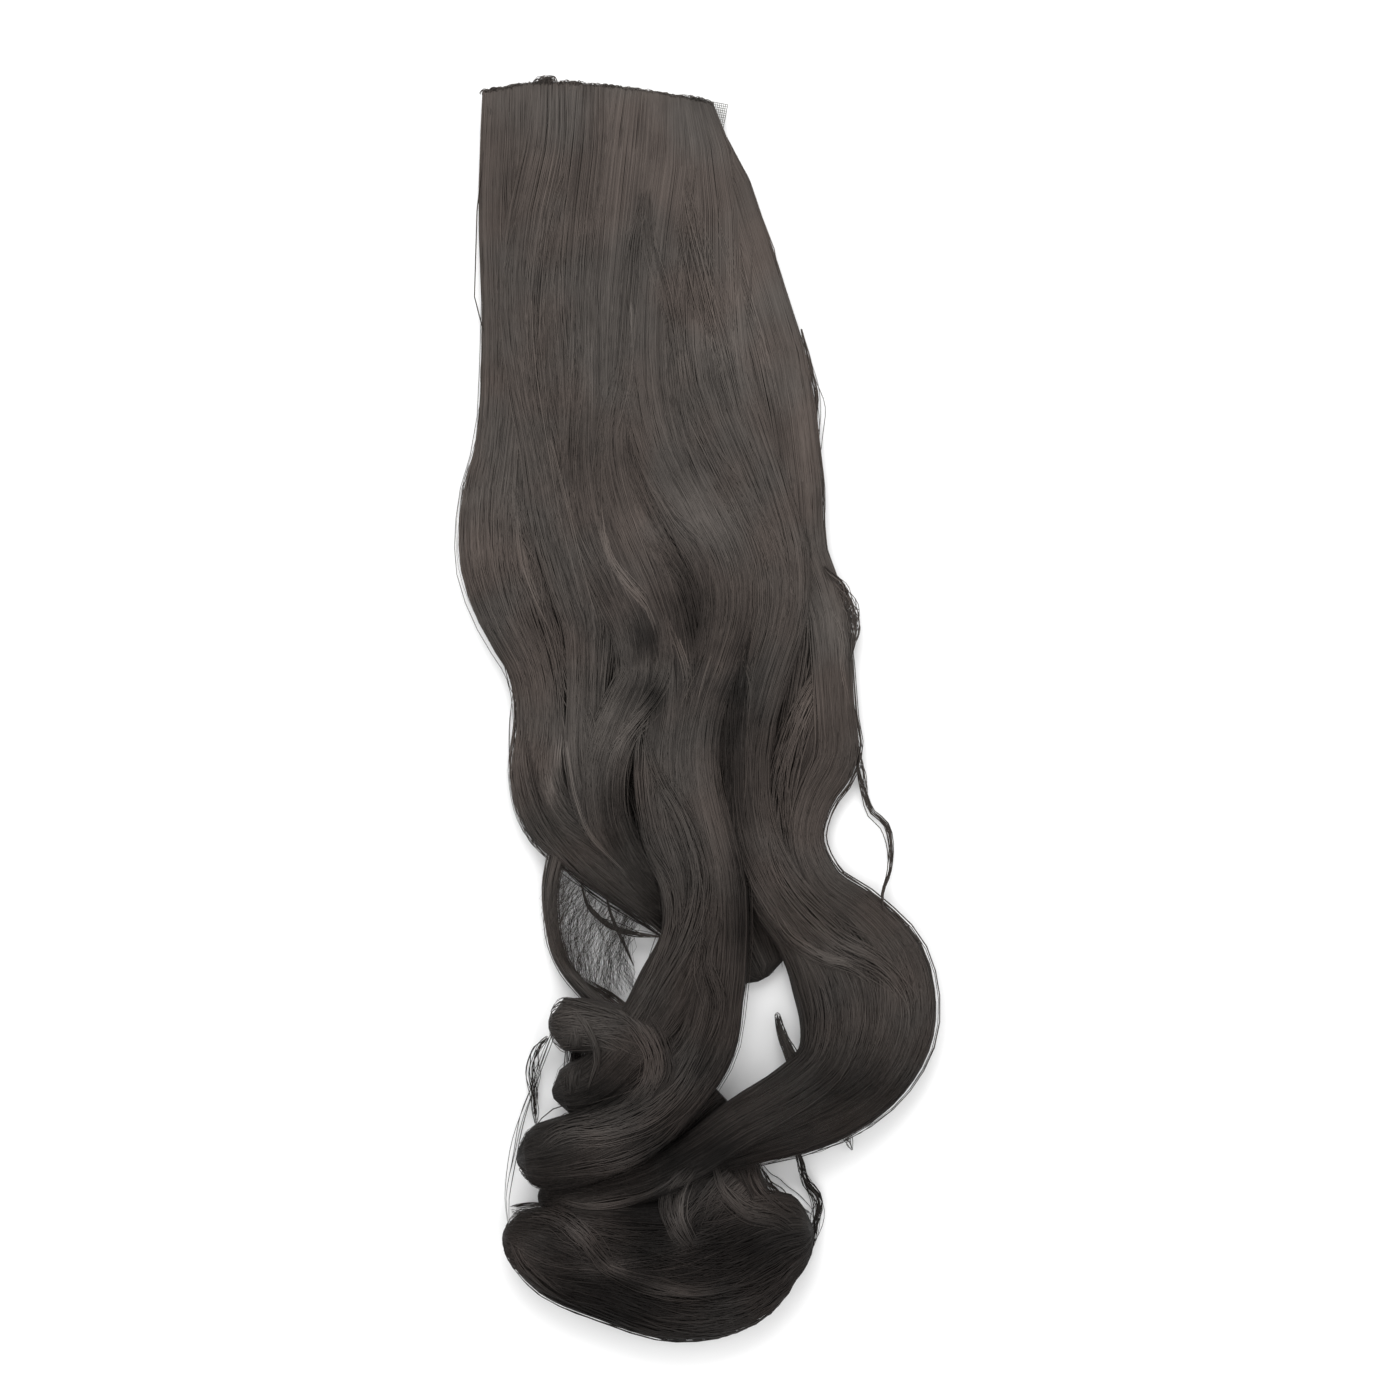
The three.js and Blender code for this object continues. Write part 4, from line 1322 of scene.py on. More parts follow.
def fill(tree, node, inputs):
    """Gives inputs of a node their values, or links them where the value is an output of another node."""
    for name, value in inputs.items():
        if isinstance(value, bpy.types.NodeSocket):
            tree.links.new(value, node.inputs[name])
        else:
            node.inputs[name].default_value = value


def add_node(tree, kind, inputs=None, **settings):
    """A new node, with its settings made before its inputs are filled."""
    node = tree.nodes.new(kind)
    for name, value in settings.items():
        setattr(node, name, value)
    fill(tree, node, inputs or {})
    return node


def object_place(tree):
    """The place on the object, in metres."""
    return add_node(tree, "ShaderNodeTexCoord").outputs["Object"]


def noise(tree, place, scale, detail=2, roughness=0.5):
    """Noise from 0 to 1."""
    inputs = {"Vector": place, "Scale": scale, "Detail": detail, "Roughness": roughness}
    return add_node(tree, "ShaderNodeTexNoise", inputs).outputs[0]


def stretched(tree, place, scale):
    """A place scaled by a different amount along each axis."""
    return add_node(tree, "ShaderNodeMapping", {"Vector": place, "Scale": scale}).outputs[0]


def ranged(tree, value, start, end, low=0, high=1):
    """A value carried from one range to another, and kept inside it."""
    inputs = {"Value": value, "From Min": start, "From Max": end, "To Min": low, "To Max": high}
    return add_node(tree, "ShaderNodeMapRange", inputs).outputs[0]


def mixed(tree, factor, first, second, **settings):
    """A mix of two colours."""
    inputs = {"Factor": factor, "A": first, "B": second}
    return add_node(tree, "ShaderNodeMix", inputs, data_type="RGBA", **settings).outputs["Result"]


def bumped(tree, height, strength, distance):
    """A surface direction that follows a height."""
    inputs = {"Height": height, "Strength": strength, "Distance": distance}
    return add_node(tree, "ShaderNodeBump", inputs).outputs[0]


def scaled(colour, share):
    """An opaque colour times a share."""
    return [value * share for value in colour[:3]] + [1]


def two_tones(tree, value, colour, dark, light):
    """A colour that goes from a dark to a light share of itself with a value."""
    ramp = add_node(tree, "ShaderNodeValToRGB", {"Fac": value})
    for element, share in zip(ramp.color_ramp.elements, (dark, light)):
        element.color = scaled(colour, share)
    return ramp.outputs[0]


def shared_material(name, looks):
    """A material, made from what looks returns for its shader's inputs when it is first asked for."""
    material = bpy.data.materials.get(name)
    if material is None:
        material = bpy.data.materials.new(name)
        material.use_nodes = True
        tree = material.node_tree
        fill(tree, tree.nodes["Principled BSDF"], looks(tree, bpy.context.scene.hairpiece_colours))
    return material


def hair_tone_group():
    """Node group: colour and gloss of hair from its tone, with speckles and warm patches, and with
    painted shade that darkens the fall towards its curls.
    """
    group = bpy.data.node_groups.get("Hair tone")
    if group:
        return group
    group = bpy.data.node_groups.new("Hair tone", "ShaderNodeTree")
    sockets = (
        ("Tone", "INPUT", "Float"),
        ("Speckle", "INPUT", "Float"),
        ("Dark", "INPUT", "Color"),
        ("Light", "INPUT", "Color"),
        ("Colour", "OUTPUT", "Color"),
        ("Roughness", "OUTPUT", "Float"),
    )
    for name, side, kind in sockets:
        group.interface.new_socket(name, in_out=side, socket_type="NodeSocket" + kind)
    given = add_node(group, "NodeGroupInput").outputs
    place = object_place(group)
    along = add_node(group, "ShaderNodeSeparateXYZ", {0: place}).outputs["Y"]
    # Share of painted shade, from none high on the fall to full at the curls.
    tip = ranged(group, along, 0.08, -0.26)
    speckles = {0: noise(group, place, 60, 3), 1: given["Speckle"], 2: given["Tone"]}
    tone = add_node(group, "ShaderNodeMath", speckles, operation="MULTIPLY_ADD").outputs[0]
    # Tones above 1 reach past the light colour, for the painted highlights.
    plain = mixed(group, tone, given["Dark"], given["Light"], clamp_factor=False)
    warmth = ranged(group, noise(group, place, 24, 1), 0.40, 0.62)
    cast = mixed(group, warmth, (0.97, 1.0, 1.01, 1), (1.035, 0.99, 0.975, 1))
    warmed = mixed(group, 1, plain, cast, blend_type="MULTIPLY")
    shaded_towards_curls = mixed(group, tip, warmed, (0.40, 0.405, 0.415, 1), blend_type="MULTIPLY")
    gloss = ranged(group, tone, 0, 1, 0.42, 0.24)
    add_node(group, "NodeGroupOutput", {"Colour": shaded_towards_curls, "Roughness": gloss})
    return group


def point_tone(tree):
    """The tone that each vertex has."""
    return add_node(tree, "ShaderNodeAttribute", attribute_name="tone").outputs["Fac"]


def toned_hair(tree, tone, speckle, dark, light):
    """Shader inputs of hair that has a tone."""
    inputs = {"Tone": tone, "Speckle": speckle, "Dark": dark, "Light": light}
    toned = add_node(tree, "ShaderNodeGroup", inputs, node_tree=hair_tone_group()).outputs
    return {"Base Color": toned["Colour"], "Roughness": toned["Roughness"], "Specular IOR Level": HAIR_GLOSS}


def strand_looks(tree, colours):
    """Hair: each strand's own tone, with painted highlights and shade that darkens towards the curls."""
    return toned_hair(tree, point_tone(tree), 0.35, colours.hair_dark, colours.hair_light)


def body_looks(tree, colours):
    """The fused hair under the strands: fine streaks along each lock, dark between them, and the same
    painted highlights and shade as the strands.
    """
    lanes = add_node(tree, "ShaderNodeUVMap", uv_map="OFBake").outputs[0]
    streaks = noise(tree, stretched(tree, lanes, (9, len(LOCKS) * 190, 1)), 1, 3, 0.65)
    streaks = ranged(tree, streaks, 0.35, 0.74)
    tones = {0: streaks, 1: point_tone(tree)}
    tone = add_node(tree, "ShaderNodeMath", tones, operation="ADD", use_clamp=True).outputs[0]
    looks = toned_hair(tree, tone, 0.2, scaled(colours.hair_dark, 1.1), scaled(colours.hair_light, 0.95))
    looks["Normal"] = bumped(tree, streaks, 0.9, 0.0007)
    return looks


def thread_looks(tree, colours):
    """Twisted sewing thread: a fine diagonal ply in its bump and tone."""
    inputs = {"Vector": object_place(tree), "Scale": 900, "Distortion": 1.5}
    ply = add_node(tree, "ShaderNodeTexWave", inputs, bands_direction="DIAGONAL").outputs["Fac"]
    return {
        "Base Color": two_tones(tree, ply, colours.thread, 0.6, 1.5),
        "Normal": bumped(tree, ply, 0.5, 0.0002),
        "Roughness": 0.6,
    }


def lace_looks(tree, colours):
    """Nylon net with uneven dye and a slight gloss."""
    dye = noise(tree, object_place(tree), 400)
    return {"Base Color": two_tones(tree, dye, colours.lace, 0.7, 1.3), "Roughness": 0.45}


def clip_looks(tree, colours):
    """Dark painted spring steel, with faint brushing in its colour and its gloss."""
    brushing = noise(tree, stretched(tree, object_place(tree), (120, 2500, 2500)), 1)
    return {
        "Base Color": two_tones(tree, brushing, colours.clip, 0.7, 1.6),
        "Roughness": ranged(tree, brushing, 0, 1, 0.28, 0.45),
        "Coat Weight": 0.2,
    }


def floor_looks(tree, colours):
    """A pale, dull surface."""
    return {"Base Color": colours.floor, "Roughness": 0.9, "Specular IOR Level": 0.1}


def lock_tube(name):
    """One lock as a smooth closed tube, a little inside the surface that its strands lie on."""
    hangs = STRANDS[name][2]
    rows = lock_rows(name)
    rings = max(8, int(evenly(rows, 2)[1] / BODY_SPACING))
    even, length = evenly(rows, rings)
    distance = np.linspace(0, length, rings)
    half = even[-1, 4] / 2
    reach = round_end((length - distance) / half)
    if name == "bottom_roll":
        reach *= round_end(distance / half)
    if hangs:
        keep = even[:, 1] < even[0, 1] - BAND_DEPTH * 0.75
        even, reach = even[keep], reach[keep]
        rings = len(even)
    pattern, ring, angle = tube_pattern(BODY_CORNERS, rings)
    wide = np.maximum(even[:, 3] / 2 - BODY_INSET, 0.0005) * reach
    thick = np.maximum(even[:, 4] / 2 - BODY_INSET, 0.0005) * reach
    points = around_line(even[:, :3], ring, np.cos(angle) * wide[ring], np.sin(angle) * thick[ring])
    put_places(pattern, drawn_in(points) if hangs else points)
    around_tube(pattern, ring, angle, BODY_CORNERS, rings, list(LOCKS).index(name), len(LOCKS))
    return pattern


def fuse(meshes, floor):
    """One closed mesh out of closed meshes that overlap, cut level at a height."""
    block = bmesh.new()
    bmesh.ops.create_cube(block, size=2)
    bmesh.ops.translate(block, verts=block.verts[:], vec=(0, 0, floor - 1))
    collection = bpy.data.collections.new("to_fuse")
    bpy.context.scene.collection.children.link(collection)
    parts = [bpy.data.objects.new(mesh.name, mesh) for mesh in (*meshes, finished(block, "below"))]
    for part in parts:
        collection.objects.link(part)
    for part in parts[1:]:
        cut = parts[0].modifiers.new("cut", "BOOLEAN")
        cut.operation = "DIFFERENCE" if part is parts[-1] else "UNION"
        cut.solver = "MANIFOLD"
        cut.object = part
    graph = bpy.context.evaluated_depsgraph_get()
    fused = bpy.data.meshes.new_from_object(parts[0].evaluated_get(graph))
    for part in parts:
        mesh = part.data
        bpy.data.objects.remove(part)
        bpy.data.meshes.remove(mesh)
    bpy.data.collections.remove(collection)
    return fused


class HAIRPIECE_OT_hair_body(bpy.types.Operator):
    """Fuses the locks into one closed body of hair, which fills the fall under its strands"""

    bl_idname = "hairpiece.hair_body"
    bl_label = "Hair body"

    def execute(self, context):
        fused = fuse([lock_tube(name) for name in LOCKS], BODY_FLOOR)
        fused.name = "hair_body"
        fused.shade_smooth()
        places = np.empty((len(fused.vertices), 3), np.float32)
        fused.vertices.foreach_get("co", places.ravel())
        # The body's tone holds the painted highlights and shade of the patches.
        put_values(fused, "tone", painted_light_and_tone(places))
        add_piece("hair_body", fused, shared_material("Packed hair", body_looks), "hair", "hair")
        return {"FINISHED"}


class Surface:
    """Heights of the top of the body of hair and of the band, on a square grid, to lay strands on."""

    step = 0.0015
    margin = 0.01
    ray_start = 0.2
    bridge_cells = 5
    bridge_end = -0.06
    bridge_fade = 0.08

    def __init__(self, context):
        low, high = (np.array(corner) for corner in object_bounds())
        self.low = low[:2] - self.margin
        self.count = np.ceil((high[:2] + self.margin - self.low) / self.step).astype(int) + 1
        self.grid = np.zeros(self.count)
        graph = context.evaluated_depsgraph_get()
        tree = BVHTree.FromObject(bpy.data.objects["hair_body"], graph)
        for i, j in np.ndindex(*self.count):
            x, y = self.low + np.array([i, j]) * self.step
            place = tree.ray_cast((x, y, self.ray_start), (0, 0, -1))[0]
            if place:
                self.grid[i, j] = place.z
        x, y = self.places()
        left, right = band_ends()[:, 0]
        on_band = (np.abs(y - band_line_y(x)) < BAND_DEPTH / 2) & (x > left) & (x < right)
        self.grid[on_band] = np.maximum(self.grid[on_band], BAND_TOP)
        self.bridged = self.closed_over(self.bridge_cells, y)

    def closed_over(self, cells, y):
        """The heights with grooves bridged that are narrower than twice that many cells, near the band."""
        spread = self.grid.copy()
        for step in range(1, cells + 1):
            spread[step:] = np.maximum(spread[step:], self.grid[:-step])
            spread[:-step] = np.maximum(spread[:-step], self.grid[step:])
        closed = spread.copy()
        for step in range(1, cells + 1):
            closed[step:] = np.minimum(closed[step:], spread[:-step])
            closed[:-step] = np.minimum(closed[:-step], spread[step:])
        share = np.clip((y - self.bridge_end) / self.bridge_fade, 0, 1)
        return np.maximum(self.grid, self.grid + (closed - self.grid) * share)

    def places(self):
        """X and Y of every place of the grid."""
        x = self.low[0] + np.arange(self.count[0]) * self.step
        y = self.low[1] + np.arange(self.count[1]) * self.step
        return np.meshgrid(x, y, indexing="ij")

    def height(self, places, bridged=False):
        """Height of the surface under places."""
        grid = self.bridged if bridged else self.grid
        at = (places[..., :2] - self.low) / self.step
        at = np.clip(at, 0, self.count - 1.001)
        cell = at.astype(int)
        part = at - cell
        i, j = cell[..., 0], cell[..., 1]
        u, v = part[..., 0], part[..., 1]
        left = grid[i, j] * (1 - v) + grid[i, j + 1] * v
        right = grid[i + 1, j] * (1 - v) + grid[i + 1, j + 1] * v
        return left * (1 - u) + right * u


def ring_shares(even, length, tip, rings, hangs):
    """Where the strands of a lock have their rings, as shares of its length: closer at bends and ends."""
    tangents = np.gradient(even[:, :3], axis=0)
    tangents /= np.linalg.norm(tangents, axis=1, keepdims=True)
    bend = np.linalg.norm(np.gradient(tangents, axis=0), axis=1)
    density = eased(0.35 + bend / (bend.mean() + 0.001), 40)
    tip_steps = int(LINE_STEPS * tip / length)
    density[-tip_steps:] += 2.5
    if hangs:
        density[: int(LINE_STEPS * 0.03 / length)] += 1.5
    else:
        density[:tip_steps] += 2.5
    reach = np.concatenate([[0], np.cumsum((density[1:] + density[:-1]) / 2)])
    shares = np.interp(np.linspace(0, reach[-1], rings), reach, np.linspace(0, 1, LINE_STEPS))
    if hangs:
        shares[1] = 0.0012 / length
    return shares


def spread_across(at, half_wide, clump, clumps, gather, hangs, random):
    """How far across its lock each strand is, from -1 to 1: even at the root, drawn into clumps below."""
    tries, rings = at.shape
    middles = (np.arange(clumps) + random.random(clumps)) / clumps * 2 - 1
    random.shuffle(middles)
    wander = smooth_noise((clumps,), rings, 4, random) * 0.12
    own = (np.arange(tries) + random.random(tries)) / tries * 2.1 - 1.05
    random.shuffle(own)
    own = own[:, None] * 1.06 + smooth_noise((tries,), rings, 3, random) * 0.05
    loose = random.normal(0, 0.0022, tries)[:, None]
    loose = loose * (1 + 0.5 * smooth_noise((clumps,), rings, 3, random)[clump])
    clumped = middles[clump][:, None] + wander[clump] + loose / half_wide
    across = own + (clumped - own) * gather * 0.8
    limit = 1.18 - 0.16 * gather if hangs else 1.0
    return np.clip(across, -limit, limit)


def laid_down(places, distance, below, hangs, surface, random):
    """Strands raised to rest on the surface where they are just inside it, their roots on the band."""
    tries = len(places)
    ground = surface.height(places, bridged=True)
    gap = ground - places[..., 2]
    lift = 0.0012 + (0.0068 * np.exp(-((distance / 0.30) ** 6)) if hangs else 0.0006)
    lifted = (gap > 0) & (gap < 0.0009 + lift) & ~below[:, None]
    resting = ground + 0.0002 + 0.0006 * random.random(tries)[:, None]
    places[..., 2] = np.where(lifted, np.maximum(places[..., 2], resting), places[..., 2])
    places[..., 2] = eased(places[..., 2], 2)
    if hangs:
        places[:, 0, 2] = BAND_HEIGHT + 0.0006 + random.normal(0, 0.0004, tries)
        places[:, 1, 2] = BAND_TOP + 0.0003
    return raised(places)


def best_seen(places, below, count, surface, random):
    """Numbers of the strands to keep: the most visible ones, and a tenth that may be hidden."""
    shown = (places[..., 2] > surface.height(places) - 0.0004).mean(1)
    shown[below] = 2
    order = np.argsort(-(shown + random.uniform(0, 0.25, len(places))))
    lower = order[: int(count * 0.10)]
    upper = order[~np.isin(order, np.flatnonzero(below))][: count - len(lower)]
    return np.concatenate([lower, upper])


def lock_strands(name, surface, random, width):
    """Strands of one lock, gathered in clumps that wander across it. Returns places, widths and tones."""
    count, rings, hangs = STRANDS[name]
    even, length = evenly(lock_rows(name), LINE_STEPS)
    sides, ups = carried_frames(even[:, :3])
    tip = even[-1, 4] / 2
    shares = ring_shares(even, length, tip, rings, hangs)

    tries = count * 2
    ends = 1 - min(0.08, 0.02 / length) * random.random(tries) ** 2
    short = random.random(tries) < 0.10
    ends[short] -= min(0.14, 0.06 / length) * random.random(short.sum())
    at = shares[None, :] * ends[:, None]
    distance = at * length
    sections = taken_at(at, even)
    half_wide = sections[..., 3] / 2
    half_thick = sections[..., 4] / 2

    clumps = max(4, tries // 14)
    clump = random.integers(0, clumps, tries)
    gather = np.clip(at * 1.4 - 0.25, 0, 1)
    across = spread_across(at, half_wide, clump, clumps, gather, hangs, random)

    below = random.random(tries) < 0.14
    sink = 1.02 - 0.10 * random.random(tries)[:, None] ** 2
    sink = sink - 0.12 * random.random(clumps)[clump][:, None] * gather
    sink = sink + smooth_noise((tries,), rings, 3, random) * 0.02
    above = np.sqrt(np.clip(1 - np.clip(across, -1, 1) ** 2, 0, 1)) * sink
    above[below] *= -1

    cap = round_end((1 - at) * length / tip)
    if name == "bottom_roll":
        cap = cap * round_end(at * length / tip)
    beside = taken_at(at, sides) * (across * cap * half_wide)[..., None]
    over = taken_at(at, ups) * (above * cap * half_thick)[..., None]
    places = sections[..., :3] + beside + over
    if hangs:
        start = places[:, :1, 0]
        top = band_line_y(start) + BAND_DEPTH / 2 + 0.0004 + random.normal(0, 0.0004, tries)[:, None]
        places[..., 1] += (top - places[:, :1, 1]) * np.exp(-((distance / 0.022) ** 2))
        places = drawn_in(places)
    places = laid_down(places, distance, below, hangs, surface, random)
    kept = best_seen(places, below, count, surface, random)

    tones = 0.42 + 0.07 * random.normal(0, 1, clumps)[clump] + 0.10 * random.normal(0, 1, tries)
    taper = np.interp(shares, [0, 0.02, 0.7, 1], [0.7, 1, 1, 0.35])
    widths = width * random.uniform(0.55, 1.25, tries)[:, None] * taper[None, :]
    return places[kept], widths[kept], np.clip(tones, 0, 1)[kept]


class HAIRPIECE_OT_hair_strands(bpy.types.Operator):
    """Lays strands along every lock, from the band to the curls"""

    bl_idname = "hairpiece.hair_strands"
    bl_label = "Hair strands"

    def execute(self, context):
        width = context.scene.hairpiece_sizes.strand_width
        surface = Surface(context)
        for number, name in enumerate(STRANDS):
            random = np.random.default_rng(410 + number)
            places, widths, tones = lock_strands(name, surface, random, width)
            add_hair(f"strands_{name}", places, widths, tones, random)
        return {"FINISHED"}


def wave_strands(line, half, tone, count, proud, surface, width, random):
    """Strands of one loose wave, laid on the surface along its line and as proud of it as that share."""
    even, length = evenly(line_places(line) + SHIFT, WAVE_RINGS)
    sides = carried_frames(even)[0]
    own = random.normal(0, 0.5, count)[:, None] + smooth_noise((count,), WAVE_RINGS, 3, random) * 0.18
    ends = np.linspace(0, 1, WAVE_RINGS)
    swell = 0.45 + 0.55 * np.sin(np.pi * ends) ** 0.7
    slide = random.uniform(-0.09, 0.09, count)[:, None] * length
    steps = np.gradient(even, axis=0)
    steps /= np.linalg.norm(steps, axis=1, keepdims=True)
    places = even + sides * (own * half * LOCK_WIDTH * swell)[..., None] + steps * slide[..., None]
    ground = eased(surface.height(places, bridged=True), 3)
    rise = 0.0018 * proud * np.clip(1 - np.abs(own), 0, 1) * np.sin(np.pi * ends) ** 0.6
    sunk = -0.0022 * (1 - np.sin(np.pi * ends) ** 0.5)
    places[..., 2] = ground + 0.0010 * proud + rise + sunk + 0.0005 * random.random(count)[:, None]
    taper = np.interp(ends, [0, 0.15, 0.8, 1], [0.4, 1, 1, 0.4])
    widths = width * random.uniform(0.55, 1.15, count)[:, None] * taper
    tones = np.clip(tone * 0.9 + random.normal(0, 0.10, count), 0, 1.2)
    return raised(places), widths, 0.4 + (tones[:, None] - 0.4) * np.sin(np.pi * ends) ** 0.7


class HAIRPIECE_OT_surface_waves(bpy.types.Operator):
    """Lays the loose waves that cross the locks, resting on the body of hair"""

    bl_idname = "hairpiece.surface_waves"
    bl_label = "Surface waves"

    def execute(self, context):
        width = context.scene.hairpiece_sizes.strand_width
        surface = Surface(context)
        random = np.random.default_rng(97)
        halves = {"upper_waves": [], "lower_waves": []}
        for half, tone, count, line in WAVES.values():
            name, proud = ("upper_waves", 0.35) if line[0][1] < 0.45 else ("lower_waves", 1)
            halves[name].append(wave_strands(line, half, tone, count, proud, surface, width, random))
        for name, waves in halves.items():
            add_hair(name, *(np.concatenate(column) for column in zip(*waves)), random)
        return {"FINISHED"}


def wisp(rows, count, rings, spread, random):
    """A few hairs that follow one line side by side and cross each other."""
    line = evenly(layout_places(rows) + SHIFT, rings)[0]
    sides, ups = carried_frames(line)
    swell = np.sin(np.linspace(0.15, math.pi - 0.15, rings))
    across = random.normal(0, 1, count)[:, None] + smooth_noise((count,), rings, 3, random)
    across = across * spread * swell
    above = smooth_noise((count,), rings, 2, random) * spread * 0.5
    return raised(line + sides * across[..., None] + ups * above[..., None], 0.0004)


def band_fuzz(count, rings, random):
    """Short ends of hair that curl over the top edge of the band, thicker at its bumps."""
    left, right = band_ends()[:, 0]
    x = [random.uniform(left, right, count)]
    high = [random.uniform(0.0004, 0.0012, count)]
    for place, reach, height, hairs in BAND_BUMPS:
        x.append(left + (right - left) * place + random.normal(0, reach * BAND_WIDTH / 2, hairs))
        high.append(random.uniform(0.3, 1.0, hairs) * height * BAND_DEPTH)
    x, high = np.concatenate(x), np.concatenate(high)
    x = np.clip(x, left - 0.0004, right + 0.0004)
    run = random.uniform(0.0012, 0.005, len(x)) * random.choice([-1, 1], len(x))
    turn = np.linspace(0, math.pi, rings)[None, :]
    root = 0.0012
    places = np.zeros((len(x), rings, 3))
    places[..., 0] = x[:, None] + run[:, None] * (1 - np.cos(turn)) / 2
    places[..., 1] = band_line_y(places[..., 0]) + BAND_DEPTH / 2 - root
    places[..., 1] += (high[:, None] + root) * np.sin(turn)
    places[..., 2] = BAND_HEIGHT + random.uniform(-0.0012, 0.0024, len(x))[:, None] + 0.0006 * np.sin(turn)
    return places


def flyaways(count, rings, random):
    """Single hairs that stand off the two long edges of the fall."""
    all_places = []
    for name, (sign, share) in FLYAWAY_EDGES.items():
        number = int(count * share)
        even = evenly(lock_rows(name), 200)[0]
        sides = carried_frames(even[:, :3])[0]
        if sides[40, 0] * sign < 0:
            sides = -sides
        start = random.uniform(0.03, 0.36, number)[:, None]
        at = np.clip(start + random.uniform(0.08, 0.24, number)[:, None] * np.linspace(0, 1, rings), 0, 0.98)
        bow = np.sin(np.linspace(0, math.pi, rings))[None, :]
        off = -0.0015 + random.uniform(0.0004, 0.0022, number)[:, None] * bow
        off = off + smooth_noise((number,), rings, 2, random) * 0.0006
        sections = taken_at(at, even)
        places = sections[..., :3] + taken_at(at, sides) * (sections[..., 3] / 2 + off)[..., None]
        places[..., 2] += random.normal(0, 0.001, number)[:, None]
        all_places.append(drawn_in(raised(places)))
    return np.concatenate(all_places)


def net_hairs(count, rings, random):
    """Fine hairs that cross each other over the left opening, from the roll above it to the curls below."""
    steps = 60
    upper, lower = (evenly(layout_places(rows) + SHIFT, steps)[0] for rows in NET_EDGES.values())
    last_step = steps - 1
    start = random.uniform(0, last_step, count)
    end = np.clip(start + random.normal(0, 9, count), 0, last_step)
    share = np.linspace(0, 1, rings)[None, :, None]
    first = taken_at(start / last_step, upper)[:, None]
    last = taken_at(end / last_step, lower)[:, None]
    places = first * (1 - share) + last * share
    bow = np.sin(np.linspace(0, math.pi, rings))
    places[..., 0] += smooth_noise((count,), rings, 3, random) * 0.003 - 0.004 * bow
    places[..., 2] += np.abs(smooth_noise((count,), rings, 2, random)) * 0.002
    return raised(places, 0.0006)


class HAIRPIECE_OT_loose_strands(bpy.types.Operator):
    """Adds the wisps, the sheer net at the left opening, the short ends along the band and the flyaways"""

    bl_idname = "hairpiece.loose_strands"
    bl_label = "Loose strands"

    def execute(self, context):
        width = context.scene.hairpiece_sizes.stray_width
        random = np.random.default_rng(733)
        wisps = [wisp(rows, count, 20, spread, random) for count, spread, rows in LOOSE_STRANDS.values()]
        groups = (
            ("loose_wisps", np.concatenate(wisps), 1.25),
            ("loose_net", net_hairs(400, 9, random), 0.42),
            ("band_fuzz", band_fuzz(120, 8, random), 1.2),
            ("flyaways", flyaways(90, 16, random), 0.7),
        )
        for name, places, share in groups:
            strands, rings = places.shape[:2]
            taper = np.interp(np.linspace(0, 1, rings), [0, 0.1, 0.8, 1], [0.7, 1, 1, 0.5])
            widths = width * share * random.uniform(0.8, 1.3, strands)[:, None] * taper
            tones = random.uniform(0.1, 0.7, strands)
            mesh = strand_tubes(name, places, widths, 1.0, tones, random.uniform(0, 2, strands))
            add_piece(name, mesh, shared_material("Hair strands", strand_looks), "hair")
        return {"FINISHED"}


def band_mesh(name, steps, corners):
    """The band as a closed strip along its line, with softly squared edges."""
    line = band_points(BAND_HEIGHT, np.linspace(BAND_START, BAND_END, steps)) + SHIFT
    pattern, ring, angle = tube_pattern(corners, steps)
    power = 8
    reach = 1 / (np.abs(np.cos(angle)) ** power + np.abs(np.sin(angle)) ** power) ** (1 / power)
    across = np.cos(angle) * reach * BAND_DEPTH / 2
    above = np.sin(angle) * reach * BAND_THICKNESS / 2
    put_places(pattern, around_line(line, ring, across, above))
    pattern.name = name
    pattern.shade_smooth()
    return pattern


class HAIRPIECE_OT_weft_band(bpy.types.Operator):
    """Builds the sewn band, with a zigzag of thread over its folded hair"""

    bl_idname = "hairpiece.weft_band"
    bl_label = "Weft band"

    def execute(self, context):
        band = band_mesh("weft_band_core", 60, 16)
        add_piece("weft_band_core", band, shared_material("Packed hair", body_looks), "band", "weft_band")
        random = np.random.default_rng(52)
        distances = np.linspace(BAND_START + 0.001, BAND_END - 0.001, ZIGZAG_STEPS)
        line = band_points(BAND_TOP + 0.0002, distances) + SHIFT
        turns = np.where(np.arange(ZIGZAG_STEPS) % 2 == 0, 0.5, -0.5)
        line = line + carried_frames(line)[0] * (turns * ZIGZAG_WIDTH + ZIGZAG_PLACE * BAND_DEPTH)[:, None]
        line[:, 2] += random.normal(0, 0.0001, ZIGZAG_STEPS)
        widths = np.full((1, ZIGZAG_STEPS), context.scene.hairpiece_sizes.thread_width)
        thread = strand_tubes("band_thread", line[None], widths, 1.0, np.zeros(1), np.zeros(1))
        add_piece("band_thread", thread, shared_material("Sewing thread", thread_looks), "band", "weft_band")
        return {"FINISHED"}


